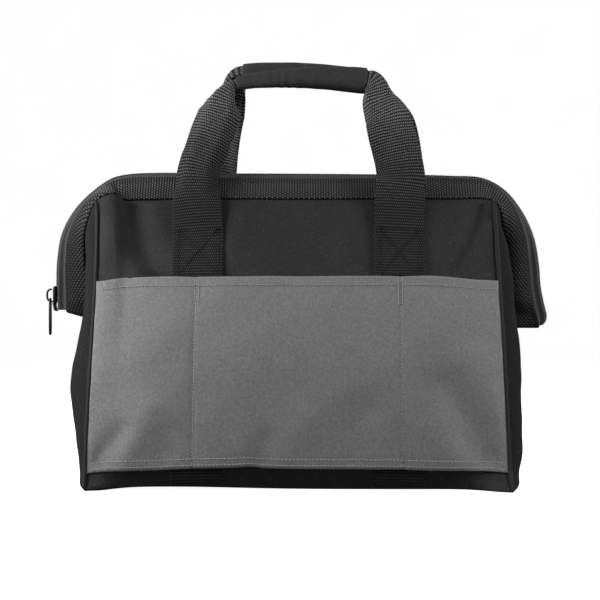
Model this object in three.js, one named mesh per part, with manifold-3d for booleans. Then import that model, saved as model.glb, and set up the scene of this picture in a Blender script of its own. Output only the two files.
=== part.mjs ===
// A wide-mouth tool bag in woven polyester, zipped shut and standing on its base.
// Millimetres, +Z up, the front of the bag faces -Y, origin on the underside at the middle of the base.
// The front and back panels lean together to a zip that runs over the top and down both ends, where the
// mouth's webbing band folds over itself and hangs as an ear. Two webbing handles run down the panels,
// and a grey pocket panel lies over the front pair.
import * as THREE from "three";
import Module from "manifold-3d";
import { mergeVertices } from "three/addons/utils/BufferGeometryUtils.js";

const wasm = await Module();
wasm.setup();

// Driving sizes of the bag
const BASE_LENGTH = 331;
const BASE_DEPTH = 200;
const BASE_THICK = 2;
const BASE_SIDE_BULGE = 19;
const CLOTH = 1.6;
const GAP = 0.3;
const SEAM_GAP = 1.3;
const FOOT_GAP = 0.7;
const WALL_FOOT = BASE_THICK + FOOT_GAP;

// Front and back panels: where the top corners meet the mouth band, how far the side seams bow outwards, and
// how far the panel's flat middle stands out from its seams
const PANEL_TOP_LEFT = -170;
const PANEL_TOP_RIGHT = 159;
const PANEL_BOW = 5;
const PANEL_CROWN = 8;
const PANEL_FLATNESS = 6;
const PANEL_SEAM_INSET = 2.3;
const PANEL_HEAD_GAP = 2.2;

// Gussets: the cloth swells at mid height, has a soft ridge beside each seam and a tuck under the ear.
// Places and half widths along the gusset run from 0 at a seam to 1 at its middle.
const GUSSET_SEAM_INSET = 1.6;
const GUSSET = { ridge: 7, ridgeAt: 0.24, ridgeHalf: 0.14, tuck: 7, tuckAt: 0.6, tuckHalf: 0.16 };
const ENDS = [
  { name: "left", end: -1, swell: 10 },
  { name: "right", end: 1, swell: 6 },
];

// Piped side seams
const PIPING_RADIUS = 1.8;
const PIPING_SIDES = 6;
const PIPING_PROUD = 1;
const PIPING_SPAN = { from: 0.008, to: 0.985 };

// Mouth band, zip tape and zip coil
const BAND_WIDTH = 25;
const BAND_THICK = 2;
const FOLD_FLATNESS = 0.6;
const TAPE_WIDTH = 9;
const TAPE_THICK = 1;
const COIL_WIDTH = 5;
const COIL_THICK = 2.4;
const COIL_START = 0.032;

// Pocket panel
const POCKET_CLOTH = 1.4;
const POCKET_LOW = 0.055;
const POCKET_HIGH = 0.705;
const POCKET_SIDE_FALL = 0.07;
const POCKET_EASE = 0.4;

// Webbing handles and their sleeves
const STRAP_WIDTH = 39;
const STRAP_THICK = 2;
const STRAP_WEB_HALF = 9.2;
const STRAP_PLACE = 84;
const STRAP_SEAT = 0.6;
const STRAP_ON_PANEL = [0.006, 0.2, 0.38, 0.54, 0.67, 0.77, 0.86];
const SLEEVE_LEFT = -52;
const SLEEVE_RIGHT = 53;
const SLEEVE_WALL = 1.2;
const SLEEVE_SETBACK = 1.3;
const SLEEVE_HALF = { wide: 11.5, deep: 4.8 };
const SLEEVE_SQUARENESS = 0.4;
const SLEEVE_SIDES = 12;

// Zip slider, its bail and its pull
const SLIDER_HEIGHT = 153;
const SLIDER = { wide: 10, tall: 16, plate: 1.6, clear: 1.7, innerWide: 3.6, innerTall: 12, postWide: 2.4 };
const POST = { low: -6, high: -2 };
const BAIL = { wide: 3.2, thick: 1.6, half: 6, room: 4.4 };
const PULL = { wide: 8, length: 31, thick: 1.4, bar: 0.9, eyeWide: 4.8, eyeEnd: 6.6 };
const BAR_CLEAR = 1.45;
const JOIN_OVERLAP = 0.3;

// How finely each curved piece is divided
const GRID = { front: [22, 12], back: [12, 8], pocket: [22, 8], gusset: [20, 12] };
const STEPS = { seam: 12, piping: 16, gussetTop: 16, band: 54, zip: 45, strapRow: 2, sleeve: 10 };

// The zip's line from the left ear's tip, over the top, to the right ear's tip. The rises say how much of
// the tape's and of the band's width lies in the plane of the line, and the rest runs to the front or back.
const MOUTH_LINE = [
  { x: -207.5, z: 144, tapeRise: 8, bandRise: 24 },
  { x: -207.6, z: 162, tapeRise: 8, bandRise: 21 },
  { x: -206.3, z: 183, tapeRise: 8, bandRise: 19 },
  { x: -202, z: 206, tapeRise: 7, bandRise: 17 },
  { x: -192, z: 226, tapeRise: 5, bandRise: 13 },
  { x: -177, z: 242, tapeRise: 3, bandRise: 8 },
  { x: -157, z: 252, tapeRise: 1, bandRise: 13 },
  { x: -128, z: 254, tapeRise: 0.5, bandRise: 18.7 },
  { x: -80, z: 254, tapeRise: 0.5, bandRise: 19 },
  { x: 0, z: 252.5, tapeRise: 0.5, bandRise: 19 },
  { x: 80, z: 253.5, tapeRise: 0.5, bandRise: 19 },
  { x: 128, z: 253.5, tapeRise: 0.5, bandRise: 18.7 },
  { x: 157, z: 251.5, tapeRise: 1, bandRise: 13 },
  { x: 175.5, z: 241.5, tapeRise: 3, bandRise: 9 },
  { x: 188.5, z: 225, tapeRise: 5, bandRise: 13 },
  { x: 198, z: 203, tapeRise: 7, bandRise: 17 },
  { x: 202, z: 181, tapeRise: 8, bandRise: 19 },
  { x: 204, z: 158, tapeRise: 8, bandRise: 21 },
  { x: 208.3, z: 131, tapeRise: 8, bandRise: 24 },
];

// A handle's leg, from the end of its sleeve down to where it meets the panel. The fold is how far the
// strap's two edges are turned back behind its middle.
const STRAP_LEG = [
  { x: 50, out: 6.9, drop: 0, fold: 150 },
  { x: 57.5, out: 8.4, drop: 1.8, fold: 145 },
  { x: 63.5, out: 12, drop: 7, fold: 100 },
  { x: 67.5, out: 13, drop: 14.5, fold: 60 },
  { x: 70, out: 14.8, drop: 23, fold: 36 },
  { x: 73.5, out: 18.5, drop: 40, fold: 16 },
  { x: 78, out: 24, drop: 58, fold: 4 },
  { x: 82.5, out: 30, drop: 81, fold: 0 },
  { x: STRAP_PLACE, out: 33.8, drop: 100, fold: 0 },
];

// The two handles: the heights of each sleeve at its left end, middle and right end
const HANDLES = [
  { name: "front", side: -1, shift: 0, left: 331, middle: 338, right: 337 },
  { name: "back", side: 1, shift: 4, left: 341, middle: 342, right: 337 },
];

// Dents in the cloth: a line from one end to the other on the panel, its half width and its depth
const FRONT_DENTS = [
  { x: -150, z: 226, toX: -113, toZ: 172, half: 9, deep: 6 },
  { x: 146, z: 222, toX: 118, toZ: 178, half: 10, deep: 3.5 },
  { x: -18, z: 226, toX: 6, toZ: 176, half: 22, deep: 3 },
];
const POCKET_DENTS = [
  { x: -150, z: 30, toX: -122, toZ: 72, half: 8, deep: 2 },
  { x: 142, z: 36, toX: 120, toZ: 86, half: 10, deep: 2 },
  { x: -22, z: 26, toX: 12, toZ: 62, half: 14, deep: 1.6 },
];

const point = (x, y, z) => new THREE.Vector3(x, y, z);
const mix = (a, b, f) => a + (b - a) * f;
const steps = (count) => Array.from({ length: count + 1 }, (_, i) => i / count);
const smooth = (f) => THREE.MathUtils.smoothstep(f, 0, 1);

// Builds a closed geometry from rings of points: quads between neighbours, and flat ends unless it is a loop.
function loft(rings, loop = false) {
  const sides = rings[0].length;
  const corners = rings.flat();
  const faces = [];
  const links = loop ? rings.length : rings.length - 1;
  for (let r = 0; r < links; r++) {
    const here = r * sides;
    const next = ((r + 1) % rings.length) * sides;
    for (let k = 0; k < sides; k++) {
      const k2 = (k + 1) % sides;
      faces.push(here + k, here + k2, next + k2, here + k, next + k2, next + k);
    }
  }
  if (!loop) {
    const last = (rings.length - 1) * sides;
    for (let k = 1; k < sides - 1; k++) {
      faces.push(0, k + 1, k, last, last + k, last + k + 1);
    }
  }
  return geometryFacingOut(corners, faces);
}

// A geometry from points and triangles, turned round if its faces point inwards.
function geometryFacingOut(corners, faces) {
  let volume = 0;
  for (let i = 0; i < faces.length; i += 3) {
    const [a, b, c] = [corners[faces[i]], corners[faces[i + 1]], corners[faces[i + 2]]];
    volume += a.dot(b.clone().cross(c));
  }
  if (volume < 0) faces.reverse();
  const geometry = new THREE.BufferGeometry().setFromPoints(corners);
  geometry.setIndex(faces);
  geometry.computeVertexNormals();
  return geometry;
}

// A wall of cloth: surface(u, v) gives its outer face, and the inner face lies one thickness behind it.
function cloth(surface, [across, up], thick, inwards) {
  const reach = 1e-3;
  const outer = [];
  const inner = [];
  for (const v of steps(up)) {
    for (const u of steps(across)) {
      const at = surface(u, v);
      const [u0, u1] = [Math.max(u - reach, 0), Math.min(u + reach, 1)];
      const [v0, v1] = [Math.max(v - reach, 0), Math.min(v + reach, 1)];
      const alongU = surface(u1, v).sub(surface(u0, v));
      const alongV = surface(u, v1).sub(surface(u, v0));
      const normal = alongU.cross(alongV).normalize();
      if (normal.dot(inwards) < 0) normal.negate();
      outer.push(at);
      inner.push(at.clone().addScaledVector(normal, thick));
    }
  }
  const row = across + 1;
  const count = outer.length;
  const faces = [];
  const quad = (a, b, c, d) => faces.push(a, b, c, a, c, d);
  for (let j = 0; j < up; j++) {
    for (let i = 0; i < across; i++) {
      const a = j * row + i;
      quad(a, a + 1, a + 1 + row, a + row);
      quad(count + a, count + a + row, count + a + 1 + row, count + a + 1);
    }
  }
  for (let i = 0; i < across; i++) {
    const top = up * row + i;
    quad(i + 1, i, count + i, count + i + 1);
    quad(top, top + 1, count + top + 1, count + top);
  }
  for (let j = 0; j < up; j++) {
    const left = j * row;
    const right = left + across;
    quad(left, left + row, count + left + row, count + left);
    quad(right + row, right, count + right, count + right + row);
  }
  return geometryFacingOut([...outer, ...inner], faces);
}

// Rings of a flat ribbon from the two edges of its middle plane.
function ribbonRings(edges, thick, loop = false) {
  const middles = edges.map(({ a, b }) => a.clone().lerp(b, 0.5));
  const last = edges.length - 1;
  return edges.map(({ a, b }, i) => {
    const before = middles[i > 0 ? i - 1 : loop ? last : 0];
    const after = middles[i < last ? i + 1 : loop ? 0 : last];
    const normal = after.clone().sub(before).cross(b.clone().sub(a)).setLength(thick / 2);
    return [a.clone().add(normal), b.clone().add(normal), b.clone().sub(normal), a.clone().sub(normal)];
  });
}

// A three.js geometry as a solid that can be joined to others.
function solidOf(geometry) {
  const bare = geometry.clone();
  bare.deleteAttribute("normal");
  bare.deleteAttribute("uv");
  const merged = mergeVertices(bare);
  return new wasm.Manifold(
    new wasm.Mesh({
      numProp: 3,
      vertProperties: merged.attributes.position.array,
      triVerts: new Uint32Array(merged.index.array),
    }),
  );
}

// Several geometries joined into one.
function joined(...geometries) {
  const mesh = geometries.map(solidOf).reduce((a, b) => a.add(b)).getMesh();
  const geometry = new THREE.BufferGeometry();
  geometry.setAttribute("position", new THREE.BufferAttribute(new Float32Array(mesh.vertProperties), 3));
  geometry.setIndex(new THREE.BufferAttribute(new Uint32Array(mesh.triVerts), 1));
  geometry.computeVertexNormals();
  return geometry;
}

// The mouth: the zip's line with its outward direction and the lean of the tape and band beside it
const mouthCurve = new THREE.CatmullRomCurve3(MOUTH_LINE.map((row) => point(row.x, 0, row.z)));
const mouthLean = new THREE.CatmullRomCurve3(MOUTH_LINE.map((row) => point(row.tapeRise, row.bandRise, 0)));

function mouth(t) {
  const along = mouthCurve.getTangent(t);
  const lean = mouthLean.getPoint(t);
  return {
    at: mouthCurve.getPoint(t),
    along,
    out: point(-along.z, 0, along.x),
    tape: { rise: lean.x, run: Math.sqrt(TAPE_WIDTH ** 2 - lean.x ** 2) },
    band: { rise: lean.y, run: Math.sqrt(BAND_WIDTH ** 2 - lean.y ** 2) },
  };
}

// The two edges of the band beside the mouth, on the front (-1) or the back (1)
function bandEdges(t, side) {
  const { at, out, tape, band } = mouth(t);
  const outer = at.clone().addScaledVector(out, -tape.rise);
  outer.y = side * tape.run;
  const inner = outer.clone().addScaledVector(out, -band.rise);
  inner.y = side * (tape.run + band.run);
  return { a: outer, b: inner };
}

// An ear's tip: the band turns from the front to the back in a flattened half circle below the zip's end.
function foldedTip(t, turn) {
  const { along } = mouth(t);
  const beyond = along.clone().multiplyScalar(t > 0.5 ? 1 : -1);
  const carry = (edge) => {
    const reach = Math.abs(edge.y);
    const moved = edge.clone().addScaledVector(beyond, reach * Math.sin(turn) * FOLD_FLATNESS);
    moved.y = -reach * Math.cos(turn);
    return moved;
  };
  const { a, b } = bandEdges(t, -1);
  return { a: carry(a), b: carry(b) };
}

// The place on the mouth where the band's inner edge has a given x
function mouthAtX(x) {
  let [low, high] = [0.2, 0.8];
  for (let i = 0; i < 40; i++) {
    const t = (low + high) / 2;
    if (bandEdges(t, -1).b.x < x) low = t;
    else high = t;
  }
  return (low + high) / 2;
}

// A point just short of the band's inner edge, where a panel's cloth ends
function underBand({ a, b }, gap = SEAM_GAP) {
  return b.clone().addScaledVector(b.clone().sub(a).normalize(), gap);
}

// The smooth surface of the front (-1) or back (1) panel, u across from left to right and v up
function panelSurface(side, u, v) {
  const foot = point(mix(-BASE_LENGTH / 2, BASE_LENGTH / 2, u), side * (BASE_DEPTH / 2 - CLOTH), WALL_FOOT);
  const headAt = mouthAtX(mix(PANEL_TOP_LEFT, PANEL_TOP_RIGHT, u));
  const head = underBand(bandEdges(headAt, side), PANEL_HEAD_GAP);
  const at = foot.lerp(head, v);
  const crown = PANEL_CROWN * (1 - Math.abs(2 * u - 1) ** PANEL_FLATNESS);
  at.y += side * (PANEL_BOW + crown) * Math.sin(Math.PI * v);
  return at;
}

// The place across a panel, from 0 to 1, of a given x at a height
function acrossAtX(x, v) {
  const left = mix(-BASE_LENGTH / 2, PANEL_TOP_LEFT, v);
  const right = mix(BASE_LENGTH / 2, PANEL_TOP_RIGHT, v);
  return (x - left) / (right - left);
}

// The direction that the front or back panel faces at a height
function panelFacing(side, v) {
  const reach = 0.02;
  const above = panelSurface(side, 0.5, Math.min(v + reach, 1));
  const rise = above.sub(panelSurface(side, 0.5, Math.max(v - reach, 0)));
  return point(0, side * rise.z, -side * rise.y).normalize();
}

// How far a set of dents pushes the cloth in at a place on the panel
function dented(dents, x, z) {
  let deep = 0;
  for (const dent of dents) {
    const run = new THREE.Vector2(dent.toX - dent.x, dent.toZ - dent.z);
    const from = new THREE.Vector2(x - dent.x, z - dent.z);
    const f = THREE.MathUtils.clamp(from.dot(run) / run.lengthSq(), 0, 1);
    const away = from.addScaledVector(run, -f).length();
    deep += dent.deep * Math.exp(-((away / dent.half) ** 2));
  }
  return deep;
}

// Front or back panel, inset from its piped side seams
function panelGeometry(side, dents, grid) {
  const inset = PANEL_SEAM_INSET / BASE_LENGTH;
  const surface = (u, v) => {
    const at = panelSurface(side, mix(inset, 1 - inset, u), v);
    at.y -= side * dented(dents, at.x, at.z);
    return at;
  };
  return cloth(surface, grid, CLOTH, point(0, -side, 0));
}

// Pocket panel: it lies over the front straps and falls to the front panel at its side seams
function pocketGeometry() {
  const inset = PANEL_SEAM_INSET / BASE_LENGTH;
  const low = GAP + POCKET_CLOTH;
  const high = low + STRAP_SEAT + STRAP_THICK + GAP + POCKET_EASE;
  const surface = (u, v) => {
    const height = mix(POCKET_LOW, POCKET_HIGH, v);
    const at = panelSurface(-1, mix(inset, 1 - inset, u), height);
    const lift = mix(low, high, smooth(Math.min(u, 1 - u) / POCKET_SIDE_FALL));
    return at.addScaledVector(panelFacing(-1, height), lift - dented(POCKET_DENTS, at.x, at.z));
  };
  return cloth(surface, GRID.pocket, POCKET_CLOTH, point(0, 1, 0));
}

// Piping along one of the four side seams
function pipingGeometry(side, end) {
  const seam = steps(STEPS.seam).map((f) => {
    const at = panelSurface(side, end < 0 ? 0 : 1, mix(PIPING_SPAN.from, PIPING_SPAN.to, f));
    return at.add(point(0, side * PIPING_PROUD, 0));
  });
  const section = new THREE.Shape().absarc(0, 0, PIPING_RADIUS, 0, 2 * Math.PI, false);
  return new THREE.ExtrudeGeometry(section, {
    steps: STEPS.piping,
    curveSegments: PIPING_SIDES / 2,
    extrudePath: new THREE.CatmullRomCurve3(seam),
  });
}

// Half of a gusset's top edge, from the panel's corner along the band to the middle of the ear's tip
function gussetTop(end) {
  const corner = mouthAtX(end < 0 ? PANEL_TOP_LEFT : PANEL_TOP_RIGHT);
  const tip = end < 0 ? 0 : 1;
  const along = steps(STEPS.gussetTop).map((f) => underBand(bandEdges(mix(corner, tip, f), -1)));
  const folded = [1, 2, 3].map((k) => underBand(foldedTip(tip, (k * Math.PI) / 6)));
  return new THREE.CatmullRomCurve3([...along, ...folded]);
}

// Half of a gusset's foot, from the panel's corner along the base's bulging end to its middle
function gussetFoot(end, f) {
  const out = BASE_LENGTH / 2 + BASE_SIDE_BULGE * (1 - (1 - f) ** 2);
  return point(end * out, -(BASE_DEPTH / 2 - CLOTH) * (1 - f), WALL_FOOT);
}

// Gusset: cloth from the base up to the band at one end of the bag
function gussetGeometry({ end, swell }) {
  const top = gussetTop(end);
  const surface = (u, v) => {
    const side = u < 0.5 ? -1 : 1;
    const f = mix(GUSSET_SEAM_INSET / (BASE_DEPTH / 2), 1, 1 - Math.abs(2 * u - 1));
    const at = gussetFoot(end, f).lerp(top.getPointAt(f), v);
    const belly = Math.sin(Math.PI * v);
    const ridge = GUSSET.ridge * Math.exp(-(((f - GUSSET.ridgeAt) / GUSSET.ridgeHalf) ** 2));
    const tuck = GUSSET.tuck * v * Math.exp(-(((f - GUSSET.tuckAt) / GUSSET.tuckHalf) ** 2));
    at.x += end * belly * (swell * f + ridge - tuck);
    at.y = -side * (at.y - PANEL_BOW * belly * (1 - f) ** 2);
    return at;
  };
  return cloth(surface, GRID.gusset, CLOTH, point(-end, 0, 0));
}

// Base: a flat panel with bulging ends, under the walls
function baseGeometry() {
  const [halfLong, halfDeep] = [BASE_LENGTH / 2, BASE_DEPTH / 2];
  const outline = new THREE.Shape();
  outline.moveTo(-halfLong, -halfDeep);
  outline.lineTo(halfLong, -halfDeep);
  outline.quadraticCurveTo(halfLong + 2 * BASE_SIDE_BULGE, 0, halfLong, halfDeep);
  outline.lineTo(-halfLong, halfDeep);
  outline.quadraticCurveTo(-halfLong - 2 * BASE_SIDE_BULGE, 0, -halfLong, -halfDeep);
  return new THREE.ExtrudeGeometry(outline, { depth: BASE_THICK, bevelEnabled: false, curveSegments: 10 });
}

// Mouth band: one loop of webbing along the front, round the right tip, along the back and round the left tip
function bandGeometry() {
  const run = steps(STEPS.band);
  const turns = [1, 2, 3, 4].map((k) => (k * Math.PI) / 5);
  const front = run.map((t) => bandEdges(t, -1));
  const rightTip = turns.map((turn) => foldedTip(1, turn));
  const back = run.map((t) => bandEdges(1 - t, 1));
  const leftTip = turns.map((turn) => foldedTip(0, Math.PI - turn));
  return loft(ribbonRings([...front, ...rightTip, ...back, ...leftTip], BAND_THICK, true), true);
}

// Zip tape on the front or the back, between the coil and the band
function tapeGeometry(side) {
  const edges = steps(STEPS.zip).map((t) => {
    const coilEdge = mouth(t).at.add(point(0, side * (COIL_WIDTH / 2 + GAP + TAPE_THICK / 2), 0));
    const bandEdge = bandEdges(t, side).a;
    const toCoil = coilEdge.clone().sub(bandEdge).setLength(SEAM_GAP);
    return { a: coilEdge, b: bandEdge.add(toCoil) };
  });
  return loft(ribbonRings(edges, TAPE_THICK));
}

// Zip coil: a six-sided chain along the mouth, from inside the slider to the right ear's tip
function coilGeometry() {
  const rings = steps(STEPS.zip).map((f) => {
    const { at, out } = mouth(mix(COIL_START, 1, f));
    return Array.from({ length: 6 }, (_, k) => {
      const turn = (k * Math.PI) / 3;
      const ring = at.clone().addScaledVector(out, (COIL_THICK / 2) * Math.sin(turn) * (2 / Math.sqrt(3)));
      ring.y = (COIL_WIDTH / 2) * Math.cos(turn);
      return ring;
    });
  });
  return loft(rings);
}

// Section of a strap, as [across, behind]: its middle stays flat and both edges turn back by the fold
function strapSection(fold) {
  const flange = STRAP_WIDTH / 2 - STRAP_WEB_HALF;
  const half = STRAP_THICK / 2;
  const [c, s] = [Math.cos(fold), Math.sin(fold)];
  const crease = [STRAP_WEB_HALF, -half];
  const edge = [crease[0] + flange * c, crease[1] + flange * s];
  const edgeBehind = [edge[0] - STRAP_THICK * s, edge[1] + STRAP_THICK * c];
  const creaseBehind = [STRAP_WEB_HALF - STRAP_THICK * Math.tan(fold / 2), half];
  const right = [crease, edge, edgeBehind, creaseBehind];
  const left = right.map(([across, behind]) => [-across, behind]).reverse();
  return [...right, ...left];
}

// A handle's line: up the panel on the left, over through the sleeve, and down the panel on the right
function handleRows({ side, shift, left, middle, right }) {
  const onPanel = (end) =>
    STRAP_ON_PANEL.map((v) => {
      const at = panelSurface(side, acrossAtX(end * STRAP_PLACE + shift, v), v);
      at.addScaledVector(panelFacing(side, v), STRAP_SEAT + STRAP_THICK / 2);
      return { at, fold: 0 };
    });
  const leg = (end, height) =>
    STRAP_LEG.map(({ x, out, drop, fold }) => ({
      at: point(end * x + shift, side * out, height - drop),
      fold: THREE.MathUtils.degToRad(fold),
    }));
  const leftLeg = leg(-1, left).reverse();
  const rightLeg = leg(1, right);
  const grip = { at: point(shift, side * STRAP_LEG[0].out, middle), fold: leftLeg.at(-1).fold };
  return [...onPanel(-1), ...leftLeg, grip, ...rightLeg, ...onPanel(1).reverse()];
}

// A handle's frame at t: its place, the direction across the strap and the direction that it faces
function handleFrame(rows, side) {
  const line = new THREE.CatmullRomCurve3(rows.map((row) => row.at));
  return (t) => {
    const along = line.getTangent(t);
    const wide = along.clone().cross(point(0, -1, 0)).normalize();
    const face = wide.clone().cross(along).normalize().multiplyScalar(-side);
    const place = t * (rows.length - 1);
    const k = Math.min(Math.floor(place), rows.length - 2);
    return { at: line.getPoint(t), wide, face, fold: mix(rows[k].fold, rows[k + 1].fold, place - k) };
  };
}

function strapGeometry(handle) {
  const rows = handleRows(handle);
  const frame = handleFrame(rows, handle.side);
  const rings = steps(STEPS.strapRow * (rows.length - 1)).map((t) => {
    const { at, wide, face, fold } = frame(t);
    return strapSection(fold).map(([across, behind]) =>
      at.clone().addScaledVector(wide, across).addScaledVector(face, -behind),
    );
  });
  return loft(rings);
}

// Sleeve over the folded middle of a handle: a soft oblong tube, open at both ends
function sleeveGeometry(handle) {
  const rows = handleRows(handle);
  const frame = handleFrame(rows, handle.side);
  const squared = (f) => Math.sign(f) * Math.abs(f) ** SLEEVE_SQUARENESS;
  const oblong = (half) =>
    Array.from({ length: SLEEVE_SIDES }, (_, k) => {
      const turn = ((k + 0.5) / SLEEVE_SIDES) * 2 * Math.PI;
      return [half.wide * squared(Math.cos(turn)), half.deep * squared(Math.sin(turn))];
    });
  const outer = oblong(SLEEVE_HALF);
  const inner = oblong({ wide: SLEEVE_HALF.wide - SLEEVE_WALL, deep: SLEEVE_HALF.deep - SLEEVE_WALL });
  const tAtX = (x) => {
    let [low, high] = [0.3, 0.7];
    for (let i = 0; i < 40; i++) {
      const t = (low + high) / 2;
      if (frame(t).at.x < x) low = t;
      else high = t;
    }
    return low;
  };
  const [from, to] = [tAtX(SLEEVE_LEFT + handle.shift), tAtX(SLEEVE_RIGHT + handle.shift)];
  const stations = steps(STEPS.sleeve).map((f) => frame(mix(from, to, f)));
  const ring = (section) => ({ at, wide, face }) =>
    section.map(([across, behind]) =>
      at.clone().addScaledVector(wide, across).addScaledVector(face, -behind - SLEEVE_SETBACK),
    );
  const there = stations.map(ring(outer));
  const andBack = stations.map(ring(inner)).reverse();
  return loft([...there, ...andBack], true);
}

// Zip slider on the left ear: an outer plate with its bail, a post, and a narrow plate inside the coil
function sliderGeometry() {
  const { wide, tall, plate, clear, innerWide, innerTall, postWide } = SLIDER;
  const block = (lowX, highX, width, lowZ, highZ) =>
    new THREE.BoxGeometry(highX - lowX, width, highZ - lowZ)
      .translate((lowX + highX) / 2, 0, (lowZ + highZ) / 2);
  const face = -clear - plate;
  const outerPlate = block(face, -clear, wide, -tall / 2, tall / 2);
  const innerPlate = block(clear, clear + plate, innerWide, -tall / 2, innerTall - tall / 2);
  const post = block(-clear - JOIN_OVERLAP, clear + JOIN_OVERLAP, postWide, POST.low, POST.high);
  const inside = { x: face - BAIL.room, z: BAIL.half - BAIL.thick };
  const outside = { x: inside.x - BAIL.thick, z: BAIL.half };
  const round = BAR_CLEAR + BAIL.thick;
  const bow = new THREE.Shape();
  bow.moveTo(face + JOIN_OVERLAP, -outside.z);
  bow.lineTo(outside.x + round, -outside.z);
  bow.absarc(outside.x + round, -outside.z + round, round, -Math.PI / 2, -Math.PI, true);
  bow.lineTo(outside.x, outside.z - round);
  bow.absarc(outside.x + round, outside.z - round, round, Math.PI, Math.PI / 2, true);
  bow.lineTo(face + JOIN_OVERLAP, outside.z);
  bow.lineTo(face + JOIN_OVERLAP, inside.z);
  bow.absarc(inside.x + BAR_CLEAR, inside.z - BAR_CLEAR, BAR_CLEAR, Math.PI / 2, Math.PI, false);
  bow.absarc(inside.x + BAR_CLEAR, -inside.z + BAR_CLEAR, BAR_CLEAR, Math.PI, 1.5 * Math.PI, false);
  bow.lineTo(face + JOIN_OVERLAP, -inside.z);
  const bail = new THREE.ExtrudeGeometry(bow, { depth: BAIL.wide, bevelEnabled: false, curveSegments: 4 });
  bail.translate(0, 0, -BAIL.wide / 2).rotateX(Math.PI / 2);
  return joined(outerPlate, innerPlate, post, bail);
}

// Zip pull: a flat tab that hangs on the bail by the bar above its eye, with the bar's middle as its origin
function pullGeometry() {
  const half = PULL.wide / 2;
  const tab = new THREE.Shape();
  tab.moveTo(-half, PULL.bar);
  tab.lineTo(-half, -PULL.length + half);
  tab.absarc(0, -PULL.length + half, half, Math.PI, 2 * Math.PI, false);
  tab.lineTo(half, PULL.bar);
  const eye = new THREE.Path();
  eye.moveTo(-PULL.eyeWide / 2, -PULL.bar);
  eye.lineTo(PULL.eyeWide / 2, -PULL.bar);
  eye.lineTo(PULL.eyeWide / 2, -PULL.eyeEnd);
  eye.lineTo(-PULL.eyeWide / 2, -PULL.eyeEnd);
  tab.holes.push(eye);
  const flat = { depth: PULL.thick, bevelEnabled: false, curveSegments: 8 };
  return new THREE.ExtrudeGeometry(tab, flat)
    .translate(0, 0, -PULL.thick / 2)
    .rotateX(Math.PI / 2)
    .rotateZ(Math.PI / 2);
}

const blackCloth = { color: 0x232325, roughness: 0.85, metalness: 0 };
const greyCloth = { color: 0x77787a, roughness: 0.85, metalness: 0 };
const webbing = { color: 0x2b2b2c, roughness: 0.8, metalness: 0 };
const sleeveCloth = { color: 0x333335, roughness: 0.8, metalness: 0 };
const zipTape = { color: 0x2a2a2b, roughness: 0.85, metalness: 0 };
const zipCoil = { color: 0x141414, roughness: 0.5, metalness: 0 };
const blackMetal = { color: 0x0c0c0d, roughness: 0.4, metalness: 0.8 };

const bag = new THREE.Group();

function add(name, geometry, finish, parent = bag) {
  const mesh = new THREE.Mesh(geometry, new THREE.MeshStandardMaterial(finish));
  mesh.name = name;
  parent.add(mesh);
  return mesh;
}

add("base_panel", baseGeometry(), blackCloth);
add("front_panel", panelGeometry(-1, FRONT_DENTS, GRID.front), blackCloth);
add("back_panel", panelGeometry(1, [], GRID.back), blackCloth);
add("pocket_panel", pocketGeometry(), greyCloth);
for (const bagEnd of ENDS) {
  add(`gusset_${bagEnd.name}`, gussetGeometry(bagEnd), blackCloth);
  add(`piping_front_${bagEnd.name}`, pipingGeometry(-1, bagEnd.end), blackCloth);
  add(`piping_back_${bagEnd.name}`, pipingGeometry(1, bagEnd.end), blackCloth);
}
add("mouth_band", bandGeometry(), webbing);
add("zip_tape_front", tapeGeometry(-1), zipTape);
add("zip_tape_back", tapeGeometry(1), zipTape);
add("zip_coil", coilGeometry(), zipCoil);
for (const handle of HANDLES) {
  add(`strap_${handle.name}`, strapGeometry(handle), webbing);
  add(`sleeve_${handle.name}`, sleeveGeometry(handle), sleeveCloth);
}

const zipRunner = new THREE.Group();
zipRunner.position.set(MOUTH_LINE[0].x, 0, SLIDER_HEIGHT);
bag.add(zipRunner);
add("zip_slider", sliderGeometry(), blackMetal, zipRunner);
const pull = add("zip_pull", pullGeometry(), blackMetal, zipRunner);
const bailFace = -SLIDER.clear - SLIDER.plate - BAIL.room;
pull.position.set(bailFace + BAR_CLEAR, 0, -(BAIL.half - BAIL.thick) + BAR_CLEAR);

export default bag;
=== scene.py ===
"""Dresses the tool bag: cloth walls, pocket, webbing, zip, stitching, studio and camera.

Sizes are millimetres in the frame of the solids: +Z up, the front faces -Y, and the origin lies under the
middle of the base. Points go into the meshes in metres.
"""

import logging
import math
from dataclasses import dataclass, replace
from enum import Enum, IntEnum
from functools import cached_property
from typing import Callable, NamedTuple

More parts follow.
